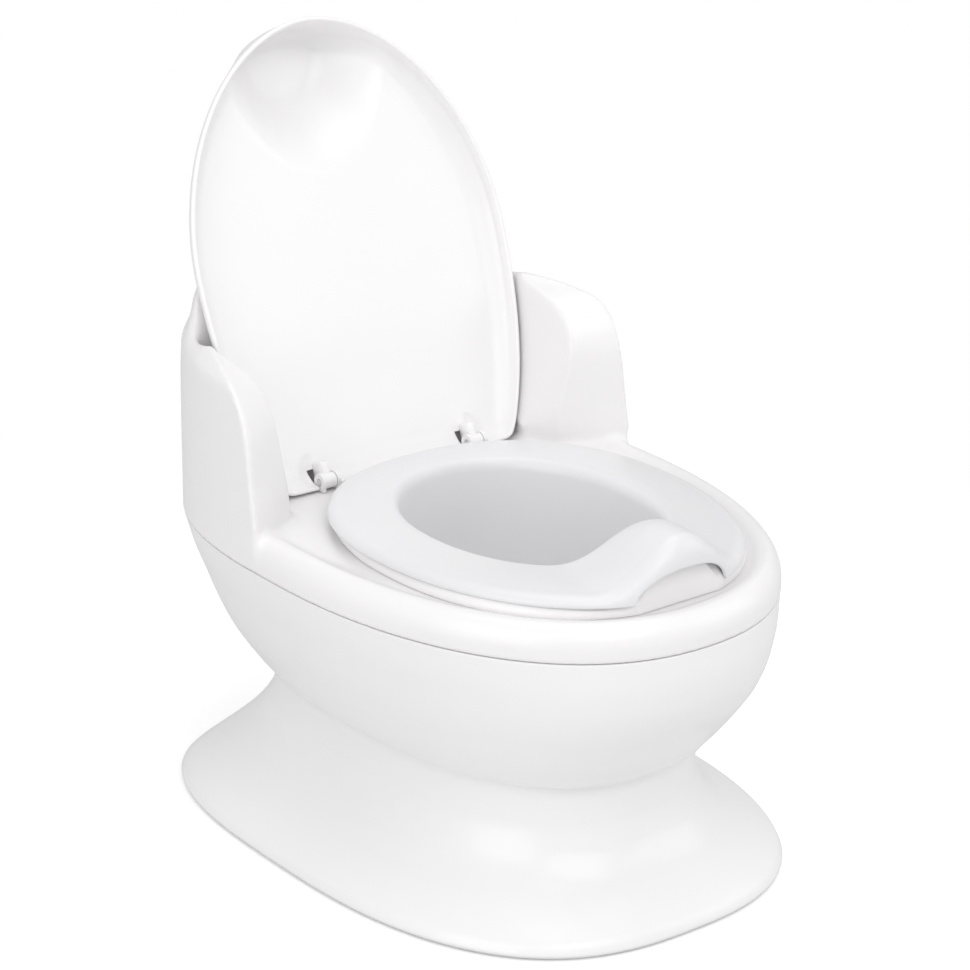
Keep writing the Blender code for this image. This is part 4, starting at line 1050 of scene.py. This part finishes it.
def lid_point(scale, behind):
    """Points of the outline shrunk by scale, on the front or the back skin."""
    x, along = scale * OUTLINE_X, LID_CENTRE + scale * (OUTLINE_ALONG - LID_CENTRE)
    inset = (1 - scale) * OUTLINE_R
    width = lerp(15.0, 11.0, smooth((OUTLINE_ALONG - 190) / 70.0))
    depth = lid_depth(x, along)
    if behind:
        share = unit(inset / (width + LID_WALL))
        depth = depth + LID_WALL
    else:
        share = unit((inset - LID_WALL) / width)
    depth = depth * np.sqrt(unit(1 - (1 - share) ** 2))
    if behind:
        depth = np.maximum(depth, 1.5)
    else:
        depth = depth + 0.8 * leaf(x, along)
    return lid_open(x, along, depth)


def lid_open(x, along, depth):
    """Places on the lid carried to where it leans open."""
    return np.stack([x, HINGE_Y + along * math.sin(LEAN) + depth * math.cos(LEAN),
                     HINGE_Z + along * math.cos(LEAN) - depth * math.sin(LEAN)], 1)


def lid_edge(inset, depth):
    scale = (OUTLINE_R - inset) / OUTLINE_R
    return lid_open(OUTLINE_X * scale, LID_CENTRE + (OUTLINE_ALONG - LID_CENTRE) * scale,
                    np.full(len(OUTLINE_R), depth))


def lid_block(name, across, along, depth, radius=0.0004):
    """Rounded block on the lid, each argument a pair of limits in mm."""
    lo, hi = ([limits[k] * MM for limits in (across, along, depth)] for k in (0, 1))
    ob = rounded_box(name, lo, hi, radius, 2)
    sine, cosine = math.sin(LEAN), math.cos(LEAN)
    ob.data.transform(Matrix(((1, 0, 0, 0), (0, sine, cosine, (HINGE_Y + SHIFT_Y) * MM),
                              (0, cosine, -sine, HINGE_Z * MM), (0, 0, 0, 1))))
    ob.data.flip_normals()         # the matrix mirrors
    return ob


def hinge_rod(name, radius, x0, x1):
    """Rod along the hinge's axis."""
    shape = bmesh.new()
    bmesh.ops.create_cone(shape, cap_ends=True, segments=48, radius1=radius * MM,
                          radius2=radius * MM, depth=(x1 - x0) * MM)
    bmesh.ops.rotate(shape, matrix=Matrix.Rotation(math.pi / 2, 3, "Y"), verts=shape.verts)
    bmesh.ops.translate(shape, vec=((x0 + x1) / 2 * MM, (HINGE_Y + SHIFT_Y) * MM, HINGE_Z * MM),
                        verts=shape.verts)
    return object_from(name, shape)


rings = [lid_point(scale, behind=False) for scale in
         np.concatenate([np.linspace(0.01, 0.80, 44), np.linspace(0.81, 0.966, 30)])]
rings += [lid_edge(LID_WALL + 1.3, 3.6), lid_edge(LID_WALL + 0.5, 2.3)]
rings += [lid_edge(1.45 + 1.45 * math.cos(turn), 1.5 - 1.5 * math.sin(turn))
          for turn in np.linspace(0, math.pi, 11)]
rim_insets = np.array([0.006, 0.012, 0.02, 0.03, 0.045, 0.06, 0.08, 0.1, 0.12, 0.15])
rings += [lid_point(scale, behind=True)
          for scale in np.concatenate([1 - rim_insets, np.linspace(0.82, 0.01, 46)])]
lid = skin("lid_panel", rings, sharp=60)

KNUCKLES = (-KNUCKLE_X, KNUCKLE_X)
combine(lid, [lid_block("cut_notch", (x - 6.9, x + 6.9), (-9.0, 8.0), (-6.0, 14.0))
              for x in KNUCKLES])
for x in KNUCKLES:
    x0, x1 = x - KNUCKLE_HALF, x + KNUCKLE_HALF
    web = lid_block("add_web", (x0 + 0.2, x1 - 0.2), (1.0, 12.0), (-0.6, 10.4), 0.0024)
    combine(lid, [web, hinge_rod("add_knuckle", 4.6, x0, x1)], "UNION")
combine(lid, [hinge_rod("cut_bore", 2.3, x - 8, x + 8) for x in KNUCKLES])
shade(lid.data, 45)
install(lid, "lid_body", "lid", LID_WHITE)

# ------------------------------------------------------------------ flush button
CAP_TOP = BUTTON_HI.z * 1000
# radius and drop below the top of the domed cap
CAP_DOME = [(0, 0), (2.5, 0.02), (5.0, 0.15), (7.2, 0.45), (8.8, 0.95), (10.0, 1.6),
            (10.7, 2.4), (BUTTON_R, 3.3)]
# radius and z of the skirt, the flange and the stem
CAP_STEM = [(BUTTON_R, 313.0), (12.5, 312.9), (12.6, 312.7), (12.6, 311.0), (12.4, 310.8),
            (3.2, 310.7), (3.2, 300.1), (3.0, 300.0), (0, 300.0)]
button = lathe("flush_button_cap", [(radius, CAP_TOP - drop) for radius, drop in CAP_DOME]
               + CAP_STEM, (BUTTON_X, BUTTON_Y, 0))
install(button, "button_body", "flush_button", LID_WHITE)

# ------------------------------------------------------------------ button spring
SPRING_LO, SPRING_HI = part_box("flush_spring")
WIRE_R, COIL_R, COIL_TURNS = 0.00055, 0.0062, 4.5      # metres
COIL_STEPS, WIRE_SIDES = 260, 12
COIL_END = 0.12             # share of the wire in each nearly flat end


def coil_point(t):
    """Middle of the wire at a share of its length."""
    angle = 2 * math.pi * COIL_TURNS * t
    climb = min(1.0, max(0.0, (t - COIL_END) / (1 - 2 * COIL_END)))
    creep = min(t, COIL_END) / COIL_END + max(0.0, t - (1 - COIL_END)) / COIL_END - 1
    z = lerp(SPRING_LO.z + WIRE_R * 1.3, SPRING_HI.z - WIRE_R * 1.3, climb)
    return (COIL_R * math.cos(angle) + BUTTON_X, COIL_R * math.sin(angle) + BUTTON_Y,
            z + WIRE_R * 0.5 * creep)


path = np.array([coil_point(k / COIL_STEPS) for k in range(COIL_STEPS + 1)])
shape = bmesh.new()
loops = []
for k, point in enumerate(path):
    tangent = Vector(path[min(k + 1, len(path) - 1)] - path[max(k - 1, 0)]).normalized()
    outward = Vector((point[0] - BUTTON_X, point[1] - BUTTON_Y, 0)).normalized()
    upward = tangent.cross(outward).normalized()
    outward = upward.cross(tangent)
    loops.append([shape.verts.new(
        Vector(point) + (outward * math.cos(a) + upward * math.sin(a)) * WIRE_R)
        for a in turns(WIRE_SIDES)])
for loop, after in zip(loops[:-1], loops[1:]):
    for i in range(WIRE_SIDES):
        j = (i + 1) % WIRE_SIDES
        shape.faces.new((loop[i], loop[j], after[j], after[i]))
shape.faces.new(loops[0][::-1])
shape.faces.new(loops[-1])
bmesh.ops.recalc_face_normals(shape, faces=shape.faces)
face_outwards(shape)
coil = object_from("button_spring_coil", shape, sharp=50)
install(coil, "chair", "flush_spring", STEEL)
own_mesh(coil)

# ------------------------------------------------------------------ battery door
SCREW_LO, SCREW_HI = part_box("battery_door_screw")
SWITCH_LO, SWITCH_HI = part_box("sound_switch")
# radius and height of the stepped screw hole
SCREW_HOLE = [(0, -8), (1.9, -8), (1.9, 0.05), (3.4, 0.05), (3.5, 0.2), (3.6, 1.0),
              (4.2, 1.7), (4.2, 8), (0, 8)]
GRIP_PITCH, GRIP_WIDTH = 0.0028, 0.0012
gap, reach = 0.0003, 0.003
door = rounded_box("battery_door_cover", tuple(DOOR_LO), tuple(DOOR_HI), 0.0009)
cutters = [
    lathe("cut_screw", SCREW_HOLE, ((SCREW_LO.x + SCREW_HI.x) / 2, DOOR_HI.y - 0.0015,
                                    (SCREW_LO.z + SCREW_HI.z) / 2), 48, axis="Y"),
    rounded_box("cut_switch", (SWITCH_LO.x - gap, DOOR_LO.y - reach, SWITCH_LO.z - gap),
                (SWITCH_HI.x + 0.0053, DOOR_HI.y + reach, SWITCH_HI.z + gap), 0.0003, 2)]
# grip grooves near the door's lower edge
for k in range(5):
    z = DOOR_LO.z + 0.008 + GRIP_PITCH * k
    cutters.append(rounded_box(f"cut_rib_{k}", (-0.011, DOOR_HI.y - 0.0006, z),
                               (0.011, DOOR_HI.y + reach, z + GRIP_WIDTH), 0.0003, 2))
combine(door, cutters)
shade(door.data, 40)
install(door, "door_body", "battery_door", SHELL_WHITE)

# ------------------------------------------------------------------ kept model parts
FINISH = {"steel": STEEL, "rubber": RUBBER, "dark_plastic": DARK, "circuit_board": BOARD,
          "battery_jacket": CELL, "shell_white": SHELL_WHITE, "lid_white": LID_WHITE,
          "pot_white": POT_WHITE}
SLOT = {part["node"]: part["material_slot"] for part in frame["record"]["subparts"]}
for name, ob in frame["nodes"].items():
    if not ob.hide_render:
        dress(ob, FINISH[SLOT[name]])
        shade(ob.data, 35)

# ------------------------------------------------------------------ floor
scene = bpy.context.scene
SWEEP_Y, SWEEP_R = 2.2, 1.2            # metres; the floor curves up into a wall


def floor_sheet():
    section = [(-4.0, 0.0), (SWEEP_Y, 0.0)]
    section += [(SWEEP_Y + SWEEP_R * math.sin(a), SWEEP_R - SWEEP_R * math.cos(a))
                for a in np.linspace(0.1, math.pi / 2, 14)]
    section.append((3.4, 4.5))
    shape = bmesh.new()
    rows = [[shape.verts.new((x, y, z)) for x in (-5.0, 5.0)] for y, z in section]
    for row, after in zip(rows[:-1], rows[1:]):
        shape.faces.new((row[0], row[1], after[1], after[0]))
    sheet = object_from("floor", shape)
    sheet.data.shade_smooth()
    return sheet


def floor_paper():
    """Paper that the camera sees fade to plain white away from the chair, while
    other rays meet a soft grey."""
    material = bpy.data.materials.new("floor_paper")
    material.use_nodes = True
    tree = material.node_tree
    near = tree.nodes["Principled BSDF"]
    set_inputs(tree, near, {
        "Base Color": (0.95, 0.95, 0.95, 1),
        "Roughness": 0.9,
        "Specular IOR Level": 0.1,
        "Emission Color": (1, 1, 1, 1),
        "Emission Strength": 0.20,
    })
    white = add_node(tree, "Emission")
    grey = add_node(tree, "BsdfDiffuse", {"Color": (0.74, 0.74, 0.74, 1)})
    position = add_node(tree, "NewGeometry").outputs["Position"]
    distance = add_node(tree, "VectorMath", {0: position}, operation="LENGTH")
    fade = add_node(tree, "MapRange", {"From Min": 0.22, "From Max": 0.75,
                                       "Value": distance.outputs["Value"]},
                    interpolation_type="SMOOTHSTEP")
    seen = add_node(tree, "MixShader", {0: fade.outputs["Result"], 1: near.outputs[0],
                                        2: white.outputs[0]})
    camera_ray = add_node(tree, "LightPath").outputs["Is Camera Ray"]
    mix = add_node(tree, "MixShader", {0: camera_ray, 1: grey.outputs[0], 2: seen.outputs[0]})
    set_inputs(tree, tree.nodes["Material Output"], {"Surface": mix.outputs[0]})
    return material


floor = floor_sheet()
floor.data.materials.append(floor_paper())


# ------------------------------------------------------------------ world and lights
def studio_world():
    """Even white light, a little brighter where the camera sees it."""
    world = bpy.data.worlds.new("studio")
    scene.world = world
    world.use_nodes = True
    tree = world.node_tree
    light = tree.nodes["Background"]
    set_inputs(tree, light, {"Color": (1.0, 1.0, 1.0, 1), "Strength": 0.76})
    seen = add_node(tree, "Background", {"Strength": 1.0})
    camera_ray = add_node(tree, "LightPath").outputs["Is Camera Ray"]
    mix = add_node(tree, "MixShader", {0: camera_ray, 1: light.outputs[0], 2: seen.outputs[0]})
    set_inputs(tree, tree.nodes["World Output"], {"Surface": mix.outputs[0]})


def aim(ob, place, target):
    ob.rotation_euler = (Vector(target) - Vector(place)).to_track_quat("-Z", "Y").to_euler()


def area(name, place, target_z, size, power):
    """Rectangular light aimed at a height on the chair's axis."""
    light = bpy.data.lights.new(name, "AREA")
    light.shape = "RECTANGLE"
    light.size, light.size_y = size
    light.energy = power
    ob = bpy.data.objects.new(name, light)
    ob.location = place
    aim(ob, place, (0, 0, target_z))
    scene.collection.objects.link(ob)


studio_world()
area("key", place=(-2.1, -0.6, 1.1), target_z=0.2, size=(1.6, 1.8), power=11.5)
area("fill", place=(1.9, -1.5, 1.1), target_z=0.2, size=(1.8, 1.4), power=6.0)
area("front", place=(-0.5, -2.0, 2.0), target_z=0.25, size=(2.0, 1.6), power=13.0)
area("top", place=(0.2, 0.0, 2.6), target_z=0.2, size=(1.8, 1.8), power=9.5)

# ------------------------------------------------------------------ camera
AZIMUTH, ELEVATION = math.radians(-37.51), math.radians(21.24)
DISTANCE = 1.96933
target = Vector((-7.64, -11.0 + SHIFT_Y, 217.15)) * MM
camera_data = bpy.data.cameras.new("camera")
camera = bpy.data.objects.new("camera", camera_data)
scene.collection.objects.link(camera)
camera_data.sensor_width = 36.0
camera_data.lens = 125.5308866
camera_data.clip_start, camera_data.clip_end = 0.05, 30.0
camera.location = target + Vector((math.sin(AZIMUTH) * math.cos(ELEVATION),
                                   -math.cos(AZIMUTH) * math.cos(ELEVATION),
                                   math.sin(ELEVATION))) * DISTANCE
aim(camera, camera.location, target)
scene.camera = camera

scene.view_settings.view_transform = "Standard"
scene.view_settings.look = "None"
